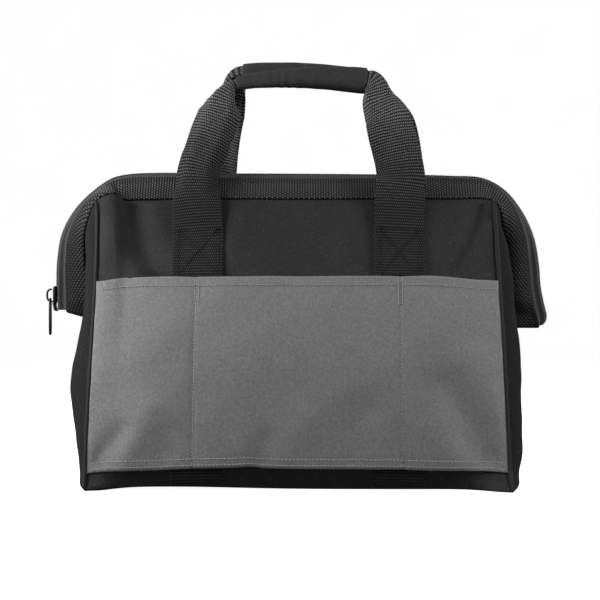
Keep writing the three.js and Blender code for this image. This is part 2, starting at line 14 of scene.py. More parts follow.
import bpy
import numpy as np
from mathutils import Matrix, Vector


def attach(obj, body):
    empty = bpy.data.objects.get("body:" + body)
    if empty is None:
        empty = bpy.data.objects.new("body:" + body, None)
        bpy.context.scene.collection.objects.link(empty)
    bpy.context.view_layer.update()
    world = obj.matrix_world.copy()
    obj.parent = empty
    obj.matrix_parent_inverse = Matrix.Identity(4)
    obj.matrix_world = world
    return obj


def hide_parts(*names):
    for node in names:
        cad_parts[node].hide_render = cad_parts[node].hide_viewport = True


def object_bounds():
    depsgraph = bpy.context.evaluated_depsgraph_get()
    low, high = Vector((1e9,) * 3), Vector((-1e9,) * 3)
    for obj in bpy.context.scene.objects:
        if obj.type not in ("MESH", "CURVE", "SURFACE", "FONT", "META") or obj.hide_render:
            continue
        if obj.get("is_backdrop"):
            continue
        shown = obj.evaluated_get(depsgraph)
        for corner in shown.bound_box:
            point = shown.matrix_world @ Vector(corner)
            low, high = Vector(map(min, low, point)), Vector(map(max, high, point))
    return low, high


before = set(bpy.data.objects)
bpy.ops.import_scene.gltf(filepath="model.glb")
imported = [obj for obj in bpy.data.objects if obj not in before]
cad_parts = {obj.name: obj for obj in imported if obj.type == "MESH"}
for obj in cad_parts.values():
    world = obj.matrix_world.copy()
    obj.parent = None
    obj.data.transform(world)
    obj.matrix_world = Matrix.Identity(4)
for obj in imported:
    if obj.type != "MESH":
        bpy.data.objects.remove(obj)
CAD_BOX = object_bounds()

LOG = logging.getLogger("tool_bag")
Array = np.ndarray
Colour = tuple[float, float, float]
MM = 0.001
TAU = 2 * math.pi
WEAVE_MAP = "weave"


class Side(IntEnum):
    """The side of the bag that a piece lies on. The value is the sign of its y."""

    FRONT = -1
    BACK = 1


class End(IntEnum):
    """The end of the bag that a piece lies at. The value is the sign of its x."""

    LEFT = -1
    RIGHT = 1

    @property
    def place(self) -> int:
        """Its place in a pair of sizes, the left one and then the right one."""
        return (self + 1) // 2


class Weave(Enum):
    """How threads cross: squarely, in diagonal ribs, in rows of crowns, or in rows that come to slant."""

    PLAIN = "plain"
    TWILL = "twill"
    RIBBED = "ribbed"
    SLANTED = "slanted"


def mix(a: Array, b: Array, share: Array) -> Array:
    """A straight blend from a, at share 0, to b, at share 1."""
    return a + (b - a) * share


def smooth(share: Array) -> Array:
    """The smooth step: 3 s squared less 2 s cubed, held between 0 and 1."""
    share = np.clip(share, 0, 1)
    return share * share * (3 - 2 * share)


def hump(distance: Array, half: float) -> Array:
    """A bell of height 1: e to the power of minus the squared share of the half width."""
    return np.exp(-((distance / half) ** 2))


def unit(vectors: Array) -> Array:
    """The same directions with length 1."""
    return vectors / np.linalg.norm(vectors, axis=-1, keepdims=True)


def vector(x: Array, y: Array, z: Array) -> Array:
    """Points from their three coordinates, each an array or a number."""
    return np.stack(np.broadcast_arrays(x, y, z), axis=-1).astype(float)


def rounded(turn: Array, squareness: float) -> tuple[Array, Array]:
    """A rounded oblong of half sizes 1: cosine and sine, their sizes raised to a power, 1 for a circle."""
    c, s = np.cos(turn), np.sin(turn)
    return np.sign(c) * np.abs(c) ** squareness, np.sign(s) * np.abs(s) ** squareness


def lengths_along(points: Array) -> Array:
    """The distance covered at each of a row of points, from 0 at the first."""
    steps = np.linalg.norm(np.diff(points, axis=0), axis=-1)
    return np.concatenate([np.zeros_like(steps[:1]), np.cumsum(steps, axis=0)])


def resampled(points: Array, step: float) -> tuple[Array, Array]:
    """Even steps along a dense row of points.

    Args:
        points: The points, in order.
        step: The wanted distance between neighbours.

    Returns:
        The share of the row, by count of points, at each even step, and the distance there.
    """
    lengths = lengths_along(points)
    count = max(2, round(lengths[-1] / step) + 1)
    stations = np.linspace(0, lengths[-1], count)
    return np.interp(stations, lengths, np.linspace(0, 1, len(points))), stations


def between(rows: Array, share: Array) -> Array:
    """Rows of a table of points, blended at shares of its length."""
    place = share * (len(rows) - 1)
    low = np.minimum(place.astype(int), len(rows) - 2)
    return mix(rows[low], rows[low + 1], (place - low)[..., None])


class SmoothLine:
    """A smooth curve through points, the one that the solids follow.

    Each stretch is the cubic through two neighbours. Its end slopes come from the four points round it, each
    step weighted by the square root of its length.
    """

    TINY = 1e-4

    def __init__(self, points: Array) -> None:
        """Keeps the points, with one more at either end to lead the curve in and out."""
        points = np.asarray(points, float)
        self.points = np.vstack([2 * points[0] - points[1], points, 2 * points[-1] - points[-2]])
        self.steps = np.sqrt(np.linalg.norm(np.diff(self.points, axis=0), axis=1))

    def at(self, t: Array) -> Array:
        """Points of the curve.

        Args:
            t: Places along it, from 0 to 1, with an equal share for each stretch.

        Returns:
            An array with the shape of t and three coordinates.
        """
        place = np.clip(t, 0, 1) * (len(self.points) - 3)
        k = np.minimum(place.astype(int), len(self.points) - 4)
        f = (place - k)[..., None]
        p0, p1, p2, p3 = (self.points[k + i] for i in range(4))
        d1 = np.where(self.steps[k + 1] < self.TINY, 1, self.steps[k + 1])[..., None]
        d0 = np.where(self.steps[k][..., None] < self.TINY, d1, self.steps[k][..., None])
        d2 = np.where(self.steps[k + 2][..., None] < self.TINY, d1, self.steps[k + 2][..., None])
        slope1 = ((p1 - p0) / d0 - (p2 - p0) / (d0 + d1) + (p2 - p1) / d1) * d1
        slope2 = ((p2 - p1) / d1 - (p3 - p1) / (d1 + d2) + (p3 - p2) / d2) * d1
        square = 3 * (p2 - p1) - 2 * slope1 - slope2
        cube = 2 * (p1 - p2) + slope1 + slope2
        return p1 + f * (slope1 + f * (square + f * cube))

    def tangent(self, t: Array) -> Array:
        """Directions of the curve, from the points just before and just after each place."""
        low, high = np.clip(t - self.TINY, 0, 1), np.clip(t + self.TINY, 0, 1)
        return unit(self.at(high) - self.at(low))


@dataclass
class Patch:
    """A mesh in the making."""

    points: Array  # The corners, in millimetres.
    faces: Array  # Four corners for each face.
    # For each corner, how far it lies across and along the cloth, in millimetres, and for the band where it
    # lies from one edge, -1, to the other, 1.
    weave: Array

    @classmethod
    def grid(cls, points: Array, weave: Array | None = None, wrap_rows: bool = False,
             wrap_columns: bool = False, capped: bool = False) -> "Patch":
        """Joins a grid of points into faces.

        Args:
            points: Rows and columns of points.
            weave: The cloth's coordinates there. By default they are the distances from the middle column
                and from the first row, measured on the surface.
            wrap_rows: Whether the last row joins the first.
            wrap_columns: Whether the last column joins the first.
            capped: Whether the first and last rings are closed by strips of faces.

        Returns:
            The patch.
        """
        rows, columns = points.shape[:2]
        r, c = np.meshgrid(np.arange(rows if wrap_rows else rows - 1),
                           np.arange(columns if wrap_columns else columns - 1), indexing="ij")
        r2, c2 = (r + 1) % rows, (c + 1) % columns
        corners = [r * columns + c, r * columns + c2, r2 * columns + c2, r2 * columns + c]
        faces = np.stack(corners, axis=-1).reshape(-1, 4)
        if capped:
            j = np.arange(columns // 2 - 1)
            strip = np.stack([j, j + 1, columns - 2 - j, columns - 1 - j], axis=-1)
            faces = np.vstack([faces, strip[:, ::-1], strip + (rows - 1) * columns])
        if weave is None:
            across = np.swapaxes(lengths_along(np.swapaxes(points, 0, 1)), 0, 1)
            across = across - across[:, columns // 2, None]
            weave = vector(across, lengths_along(points), 0)
        return cls(points.reshape(-1, 3), faces, weave.reshape(-1, 3))

    @classmethod
    def joined(cls, patches: list["Patch"]) -> "Patch":
        """One patch that holds several, each with its faces kept apart.

        Args:
            patches: The patches.

        Returns:
            The joined patch.
        """
        starts = np.cumsum([0] + [len(p.points) for p in patches[:-1]])
        return cls(np.vstack([p.points for p in patches]),
                   np.vstack([p.faces + start for p, start in zip(patches, starts)]),
                   np.vstack([p.weave for p in patches]))

    @classmethod
    def closed(cls, rings: Array, weave: Array | None = None) -> "Patch":
        """Joins rings into a closed piece that faces outwards."""
        return cls.grid(rings, weave, wrap_columns=True, capped=True).facing()

    def facing(self, outside: Array | None = None) -> "Patch":
        """The patch with its faces turned outwards.

        Args:
            outside: A direction for the whole patch or for each corner. By default it is away from the
                middle of the patch.

        Returns:
            The patch, turned round if most of its area faced the other way.
        """
        if outside is None:
            outside = self.points - self.points.mean(axis=0)
        a, b, c, d = (self.points[self.faces[:, i]] for i in range(4))
        reference = np.broadcast_to(outside, self.points.shape)[self.faces[:, 0]]
        if (np.cross(c - a, d - b) * reference).sum() < 0:
            return Patch(self.points, self.faces[:, ::-1], self.weave)
        return self

    def repeated(self, places: Array, axes: Array) -> "Patch":
        """Copies of the patch.

        Args:
            places: Where the origin of each copy goes.
            axes: For each copy, the directions of its x, y and z as three rows.

        Returns:
            One patch with all the copies.
        """
        points = np.einsum("pi,nij->npj", self.points, axes) + places[:, None]
        starts = np.arange(len(places)) * len(self.points)
        faces = self.faces[None] + starts[:, None, None]
        return Patch(points.reshape(-1, 3), faces.reshape(-1, 4), np.tile(self.weave, (len(places), 1)))


def operator(operation: str, reflected: bool = False) -> "Callable[..., Value]":
    """A method of Value that adds a Math node.

    Args:
        operation: What the node works out.
        reflected: Whether the value stands on the right of a plain number.

    Returns:
        The method.
    """

    def method(value: "Value", *other: "Value | float") -> "Value":
        """The result, which changes over the surface too."""
        values = (*other, value) if reflected else (value, *other)
        return value.sheet.node("ShaderNodeMath", {"operation": operation}, dict(enumerate(values)))

    return method


class Value:
    """A number or vector that changes over a surface. Arithmetic on it adds Math nodes."""

    __add__, __radd__ = operator("ADD"), operator("ADD", reflected=True)
    __sub__, __rsub__ = operator("SUBTRACT"), operator("SUBTRACT", reflected=True)
    __mul__, __rmul__ = operator("MULTIPLY"), operator("MULTIPLY", reflected=True)
    __truediv__ = operator("DIVIDE")
    __pow__ = operator("POWER")
    __abs__ = operator("ABSOLUTE")
    __floor__ = operator("FLOOR")
    sine = operator("SINE")

    def __init__(self, sheet: "NodeSheet", socket: bpy.types.NodeSocket) -> None:
        """Wraps a socket that a node of the sheet gives out."""
        self.sheet = sheet
        self.socket = socket

    def held(self) -> "Value":
        """The value held between 0 and 1."""
        return self.sheet.node("ShaderNodeClamp", None, {0: self})


class NodeSheet:
    """The node tree of one material, with its surface shader."""

    def __init__(self, name: str) -> None:
        """Starts a material that holds only a shader and an output.

        Args:
            name: The material's name.
        """
        self.material = bpy.data.materials.new(name)
        self.material.use_nodes = True
        self.tree = self.material.node_tree
        self.tree.nodes.clear()
        self.shader = self.tree.nodes.new("ShaderNodeBsdfPrincipled")
        output = self.tree.nodes.new("ShaderNodeOutputMaterial")
        self.tree.links.new(self.shader.outputs[0], output.inputs[0])

    def node(self, kind: str, settings: dict | None = None, inputs: dict | None = None,
             output: int | str = 0) -> Value:
        """Adds any node.

        Args:
            kind: The node's type.
            settings: Its properties, which are set first.
            inputs: Values or plain settings of its sockets, by number or name.
            output: The socket that is given back.

        Returns:
            That output.
        """
        made = self.tree.nodes.new(kind)
        for key, value in (settings or {}).items():
            setattr(made, key, value)
        self.feed(made, inputs or {})
        return Value(self, made.outputs[output])

    def feed(self, node: bpy.types.Node, inputs: dict) -> None:
        """Links or sets the sockets of a node.

        Args:
            node: The node.
            inputs: Values or plain settings, by the socket's number or name.
        """
        for key, value in inputs.items():
            if isinstance(value, Value):
                self.tree.links.new(value.socket, node.inputs[key])
            else:
                node.inputs[key].default_value = value

    def weave(self) -> tuple[Value, Value]:
        """How far a point lies across and along its cloth, in millimetres."""
        place = self.node("ShaderNodeAttribute", {"attribute_name": WEAVE_MAP}, None, "Vector")
        return tuple(self.node("ShaderNodeSeparateXYZ", None, {0: place}, axis) for axis in "XY")

    def place(self) -> Value:
        """Where a point lies across its webbing, from -1 at one edge to 1 at the other."""
        place = self.node("ShaderNodeAttribute", {"attribute_name": WEAVE_MAP}, None, "Vector")
        return self.node("ShaderNodeSeparateXYZ", None, {0: place}, "Z")

    def noise(self, size: float, detail: float = 2) -> Value:
        """Soft random patches of about the given size in millimetres, from 0 to 1."""
        place = self.node("ShaderNodeTexCoord", None, None, "Object")
        inputs = {"Vector": place, "Scale": 1 / (size * MM), "Detail": detail}
        return self.node("ShaderNodeTexNoise", None, inputs)

    def height(self) -> Value:
        """The height above the floor, in millimetres."""
        place = self.node("ShaderNodeTexCoord", None, None, "Object")
        return self.node("ShaderNodeSeparateXYZ", None, {0: place}, "Z") * 1000

    def blend(self, share: Value, first: Colour, second: Colour) -> Value:
        """A colour between two, by a share from 0 to 1."""
        inputs = {0: share, 6: self.colour(first), 7: self.colour(second)}
        return self.node("ShaderNodeMix", {"data_type": "RGBA"}, inputs, 2)

    def colour(self, value: "Colour | Value") -> "tuple | Value":
        """A colour as a socket takes it."""
        return value if isinstance(value, Value) else (*value, 1)

    def bump(self, height: Value, depth: float) -> Value:
        """A normal from a height between 0 and 1 that stands for a depth in millimetres."""
        return self.node("ShaderNodeBump", None, {"Distance": depth * MM, "Height": height})

    def finished(self, inputs: dict) -> bpy.types.Material:
        """Feeds the shader and gives back the material."""
        self.feed(self.shader, inputs)
        return self.material


@dataclass(frozen=True)
class Finish:
    """What a piece is made of."""

    name: str
    colour: Colour

    def material(self) -> bpy.types.Material:
        """Builds the material."""
        raise NotImplementedError


def shaded(colour: Colour, factor: float) -> Colour:
    """A colour made lighter or darker."""
    return tuple(channel * factor for channel in colour)


@dataclass(frozen=True)
class ClothFinish(Finish):
    """Woven polyester cloth."""

    weave: Weave
    pitch: float  # The distance between threads or ribs.
    depth: float  # The depth between threads.
    contrast: float  # How much lighter a thread's crown is than the dip beside it: painted shade in the dips.
    mottle: float  # How far the colour wanders over the cloth.
    roughness: float
    sheen: float  # The soft light at grazing angles.
    lint: float  # How bright stray fibres are.

    def material(self) -> bpy.types.Material:
        """Threads from sines across and along the cloth, with wandering colour and a few pale fibres.

        Returns:
            The material.
        """
        sheet = NodeSheet(self.name)
        across, along = sheet.weave()
        turn = TAU / self.pitch
        if self.weave is Weave.TWILL:
            ribs = ((across + along) * turn).sine()
            threads = ((across - along) * (turn / 2)).sine()
            height = 0.5 + ribs * 0.35 + ribs * threads * 0.15
        else:
            height = 0.5 + (across * turn).sine() * (along * turn).sine() * 0.5
        cloud = sheet.noise(45, 3)
        grain = ((sheet.noise(1.9, 2) - 0.5) * 2 + 0.5).held()
        spread = self.contrast + self.mottle
        # The colour is darker in the dips between threads, which is painted shade, and wanders at random with
        # the cloth's own tone.
        share = (height * self.contrast + (cloud * 0.3 + grain * 0.7) * self.mottle) / spread
        cloth = sheet.blend(share, shaded(self.colour, 1 - spread), shaded(self.colour, 1 + spread))
        fibres = ((sheet.noise(1.9, 0) - 0.8) * 24).held() * self.lint
        rough = self.roughness + (cloud - 0.5) * 0.12 - height * 0.06
        return sheet.finished({
            "Base Color": sheet.blend(fibres, cloth, (0.45, 0.45, 0.45)),
            "Roughness": rough,
            "Normal": sheet.bump(height + grain * 0.6, self.depth),
            "Sheen Weight": self.sheen,
            "Sheen Roughness": 0.45,
            "Specular IOR Level": 0.2,
        })


@dataclass(frozen=True)
class WebbingFinish(Finish):
    """Heavy woven webbing with ribs across it, each a row of thread crowns."""

    paled: Colour  # The colour of the crowns high up, paler there: painted light from above.
    painted_light_heights: tuple[float, float]  # The heights between which the crowns turn paler, in millimetres: painted light from above.
    weave: Weave
    rib: float  # The distance between ribs.
    crown: float  # The distance between crowns along a rib.
    depth: float  # The depth between crowns.
    gap: float  # The darkness between crowns, as a share of the colour: painted shade.
    sharpness: float  # How small the painted highlights on the crowns are low down, where the painted top light doesn't widen them.
    roughness: float
    slant_at: tuple[float, float] = (215, 20)  # The height where a slanting weave turns square, and the fade.
    plain_edge: float = 0.78  # How far out its plain edge starts, as a share of half the width.

    def material(self) -> bpy.types.Material:
        """Crowns from the size of a sine along each rib, shifted by half a crown from rib to rib.

        Where the weave slants, they run on from rib to rib lower down, and leave one edge plain.

        Returns:
            The material.
        """
        sheet = NodeSheet(self.name)
        across, along = sheet.weave()
        row = along / self.rib
        step = math.floor(row)
        ribs = abs((row * math.pi).sine()) ** 0.8
        if self.weave is Weave.SLANTED:
            level = ((sheet.height() - self.slant_at[0]) / self.slant_at[1]).held()
            plain = 1 - ((sheet.place() + self.plain_edge - level * 0.26) * 6).held()
            step = step + (row - step) * (1 - level)
            ribs = ribs + (0.85 - ribs) * (1 - level) * 0.6
            across = across * (0.79 + level * 0.21)
        crowns = abs(((across / self.crown + step * 0.5) * math.pi).sine())
        if self.weave is Weave.SLANTED:
            crowns = crowns + (0.6 - crowns) * plain
        height = ribs * (0.12 + crowns * 0.88)
        cloud = sheet.noise(30, 3)
        # The crowns turn paler higher up, and their lit tops grow wider: painted light from above.
        low, high = self.painted_light_heights
        painted_top_light = ((sheet.height() - low) / (high - low) + (cloud - 0.5) * 0.5).held()
        # The colour is light on the crowns and nearly black between them: painted highlights and painted
        # shade.
        share = ((height ** ((1 - painted_top_light * 0.55) * self.sharpness)) * 1.2 * (0.85 + cloud * 0.3)).held()
        crown = sheet.blend(painted_top_light, self.colour, self.paled)
        return sheet.finished({
            "Base Color": sheet.blend(share, shaded(self.colour, self.gap), crown),
            "Roughness": self.roughness - height * 0.15 + (cloud - 0.5) * 0.1,
            "Normal": sheet.bump(height, self.depth),
            "Sheen Weight": 0.05,
            "Sheen Roughness": 0.4,
            "Specular IOR Level": 0.2,
        })


@dataclass(frozen=True)
class ThreadFinish(Finish):
    """Twisted sewing thread."""

    def material(self) -> bpy.types.Material:
        """Strands from a sine that runs round and along each stitch.

        Returns:
            The material.
        """
        sheet = NodeSheet(self.name)
        around, along = sheet.weave()
        strand = 0.5 + ((around * 2 + along * 5).sine()) * 0.5
        # The colour is darker between the strands, which is painted shade, and wanders a little at random.
        tint = (strand * 0.7 + sheet.noise(9) * 0.3).held()
        return sheet.finished({
            "Base Color": sheet.blend(tint, shaded(self.colour, 0.6), shaded(self.colour, 1.15)),
            "Roughness": 0.75 - strand * 0.15,
            "Normal": sheet.bump(strand, 0.08),
            "Specular IOR Level": 0.35,
        })


@dataclass(frozen=True)
class CoilFinish(Finish):
    """Smooth black nylon of the zip's coil."""

    def material(self) -> bpy.types.Material:
        """Even nylon whose gloss wanders from tooth to tooth.

        Returns:
            The material.
        """
        sheet = NodeSheet(self.name)
        wander = sheet.noise(3.5)
        return sheet.finished({
            "Base Color": sheet.blend(wander, shaded(self.colour, 0.7), shaded(self.colour, 1.3)),
            "Roughness": 0.28 + wander * 0.25,
            "Normal": sheet.bump(sheet.noise(0.6), 0.05),
        })


@dataclass(frozen=True)
class MetalFinish(Finish):
    """Cast metal under black paint, a little rubbed."""

    bare: Colour  # The colour of the metal where the paint is thin.

    def material(self) -> bpy.types.Material:
        """Paint with fine pits, and rubbed patches where a noise runs high.

        Returns:
            The material.
        """
        sheet = NodeSheet(self.name)
        pits = sheet.noise(0.5, 3)
        paled = ((sheet.noise(2.2, 4) - 0.62) * 6).held()
        return sheet.finished({
            "Base Color": sheet.blend(paled * 0.5, self.colour, self.bare),
            "Metallic": paled * 0.6,
            "Roughness": 0.42 + pits * 0.18,
            "Specular IOR Level": 0.35,
            "Normal": sheet.bump(pits, 0.06),
        })


@dataclass(frozen=True)
class StudioFinish(Finish):
    """Pale paper of the studio's floor and backdrop."""

    glow: float  # The strength of the light that comes through it, which leaves only a trace of shadows.

    def material(self) -> bpy.types.Material:
        """Matt paper with a faint grain, lit from behind.

        Returns:
            The material.
        """
        sheet = NodeSheet(self.name)
        grain = sheet.noise(160, 4)
        tint = sheet.blend(grain, shaded(self.colour, 0.985), shaded(self.colour, 1.015))
        return sheet.finished({
            "Base Color": tint,
            "Emission Color": tint,
            "Emission Strength": self.glow,
            "Roughness": 0.75 + grain * 0.1,
            "Specular IOR Level": 0.2,
        })


BLACK_CLOTH = ClothFinish(
    "black_polyester", (0.0205, 0.0205, 0.0215), Weave.PLAIN, pitch=1.7, depth=0.35, contrast=0.4,
    mottle=0.55, roughness=0.6, sheen=0.02, lint=0.06)
# The gussets' cloth: the black cloth with a darker colour, which is painted shade, and a rougher face.
SHADED_END_CLOTH = replace(BLACK_CLOTH, name="end_polyester_painted_shade", colour=(0.0125, 0.0125, 0.013), roughness=0.9)
GREY_CLOTH = ClothFinish(
    "grey_polyester", (0.19, 0.19, 0.192), Weave.TWILL, pitch=1.72, depth=0.12, contrast=0.42, mottle=0.3,
    roughness=0.8, sheen=0.02, lint=0.05)
SLEEVE_CLOTH = ClothFinish(
    "sleeve_polyester", (0.036, 0.036, 0.037), Weave.PLAIN, pitch=0.8, depth=0.1, contrast=0.15, mottle=0.25,
    roughness=0.7, sheen=0.06, lint=0.1)
PIPING_CLOTH = ClothFinish(
    "piping_polyester", (0.018, 0.018, 0.019), Weave.TWILL, pitch=0.9, depth=0.1, contrast=0.2, mottle=0.2,
    roughness=0.7, sheen=0.04, lint=0)
TAPE_CLOTH = ClothFinish(
    "zip_tape_cloth", (0.06, 0.06, 0.061), Weave.TWILL, pitch=0.7, depth=0.1, contrast=0.2, mottle=0.18,
    roughness=0.75, sheen=0.05, lint=0)
# Both webbings' crowns are paler higher up: painted light from above.
STRAP_WEBBING = WebbingFinish(
    "strap_webbing", (0.06, 0.06, 0.061), (0.24, 0.24, 0.241), (225, 310), Weave.RIBBED,
    rib=2.53, crown=1.74, depth=0.7, gap=0.02, sharpness=4.8, roughness=0.7)
BAND_WEBBING = WebbingFinish(
    "band_webbing", (0.05, 0.05, 0.051), (0.12, 0.12, 0.121), (195, 250), Weave.SLANTED,
    rib=2.2, crown=2.2, depth=0.6, gap=0.02, sharpness=5, roughness=0.7)
BLACK_THREAD = ThreadFinish("black_thread", (0.008, 0.008, 0.0085))
GREY_THREAD = ThreadFinish("grey_thread", (0.43, 0.43, 0.43))
COIL_NYLON = CoilFinish("coil_nylon", (0.016, 0.016, 0.017))
BLACK_METAL = MetalFinish("black_paint", (0.012, 0.012, 0.013), (0.25, 0.25, 0.26))
STUDIO_PAPER = StudioFinish("studio_paper", (0.88, 0.88, 0.88), 1.06)


def make_piece(name: str, patch: Patch, finish: Finish, slot: str | None,
               body: str = "bag") -> bpy.types.Object:
    """Puts a patch into the scene as a smooth piece.

    Args:
        name: The piece's name.
        patch: Its mesh, in millimetres.
        finish: What it is made of.
        slot: The record's material slot, or None for a piece of the studio.
        body: The body that it moves with.

    Returns:
        The piece.
    """
    mesh = bpy.data.meshes.new(name)
    mesh.vertices.add(len(patch.points))
    mesh.vertices.foreach_set("co", (patch.points * MM).astype(np.float32).ravel())
    mesh.loops.add(patch.faces.size)
    mesh.loops.foreach_set("vertex_index", patch.faces.astype(np.int32).ravel())
    mesh.polygons.add(len(patch.faces))
    mesh.polygons.foreach_set("loop_start", np.arange(0, patch.faces.size, 4, dtype=np.int32))
    mesh.update(calc_edges=True)
    mesh.validate()
    weave = mesh.attributes.new(WEAVE_MAP, "FLOAT_VECTOR", "POINT")
    weave.data.foreach_set("vector", patch.weave.astype(np.float32).ravel())
    mesh.shade_smooth()
    mesh.materials.append(bpy.data.materials.get(finish.name) or finish.material())
    piece = bpy.data.objects.new(name, mesh)
    bpy.context.scene.collection.objects.link(piece)
    if slot is None:
        piece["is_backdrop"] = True
    else:
        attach(piece, body)
    LOG.info("%s: %d faces in %s", name, len(patch.faces), finish.name)
    return piece


def thicken(piece: bpy.types.Object, thickness: float) -> None:
    """Gives a sheet its thickness, behind the face that it shows."""
    wall = piece.modifiers.new("thickness", "SOLIDIFY")
    wall.thickness = thickness * MM
    wall.offset = -1


def tube(centre: Array, radius: Array, sides: int) -> Array:
    """A ring of points round each point of a line: a circle square to the line's direction.

    Args:
        centre: The line.
        radius: The radius at each of its points, or one number.
        sides: The number of points in a ring.

    Returns:
        Rows of rings.
    """
    along = unit(np.gradient(centre, axis=0))
    first = unit(np.cross(along, (0.3, 0.9, 0.31)))
    second = np.cross(along, first)
    turn = np.arange(sides) * TAU / sides
    reach = np.broadcast_to(radius, len(centre))[:, None, None]
    ring = first[:, None] * np.cos(turn)[:, None] + second[:, None] * np.sin(turn)[:, None]
    return centre[:, None] + ring * reach


class Fold(NamedTuple):
    """A soft fold in cloth: its path as points (x, z), half its width and its height, under 0 in a dip."""

    path: tuple[tuple[float, float], ...]
    half: float
    height: float


def relief(folds: tuple[Fold, ...], x: Array, z: Array) -> Array:
    """The height of cloth over its smooth form: the sum of a bell across the nearest point of each fold.

    Args:
        folds: The folds.
        x: Places across the cloth.
        z: Places up it.

    Returns:
        Heights with the shape of x.
    """
    total = np.zeros(np.broadcast(x, z).shape)
    for fold in folds:
        nearest = np.full(total.shape, np.inf)
        for first, last in zip(fold.path, fold.path[1:]):
            run_x, run_z = last[0] - first[0], last[1] - first[1]
            share = ((x - first[0]) * run_x + (z - first[1]) * run_z) / (run_x**2 + run_z**2)
            share = np.clip(share, 0, 1)
            away = np.hypot(x - first[0] - share * run_x, z - first[1] - share * run_z)
            nearest = np.minimum(nearest, away)
        total = total + fold.height * hump(nearest, fold.half)
    return total


def ripples(a: Array, b: Array, seed: int, size: float, height: float, count: int = 7) -> Array:
    """Faint random waves in cloth: a sum of sines with random headings, lengths and starts.

    Args:
        a: Places one way across the cloth.
        b: Places the other way.
        seed: The seed of the random draws.
        size: The mean wave length.
        height: The usual height of the sum.
        count: How many waves are added.

    Returns:
        Heights with the shape of a and b.
    """
    draw = np.random.default_rng(seed)
    heading, start = draw.uniform(0, math.pi, count), draw.uniform(0, TAU, count)
    turn = TAU / (size * draw.uniform(0.6, 1.7, count))
    a, b = np.broadcast_arrays(a, b)
    waves = np.sin((a[..., None] * np.cos(heading) + b[..., None] * np.sin(heading)) * turn + start)
    return height * waves.sum(axis=-1) / math.sqrt(count)


class MouthRow(NamedTuple):
    """A point of the zip's line, with how much of the tape's and band's width lies in the line's plane."""

    x: float
    z: float
    tape_rise: float
    band_rise: float


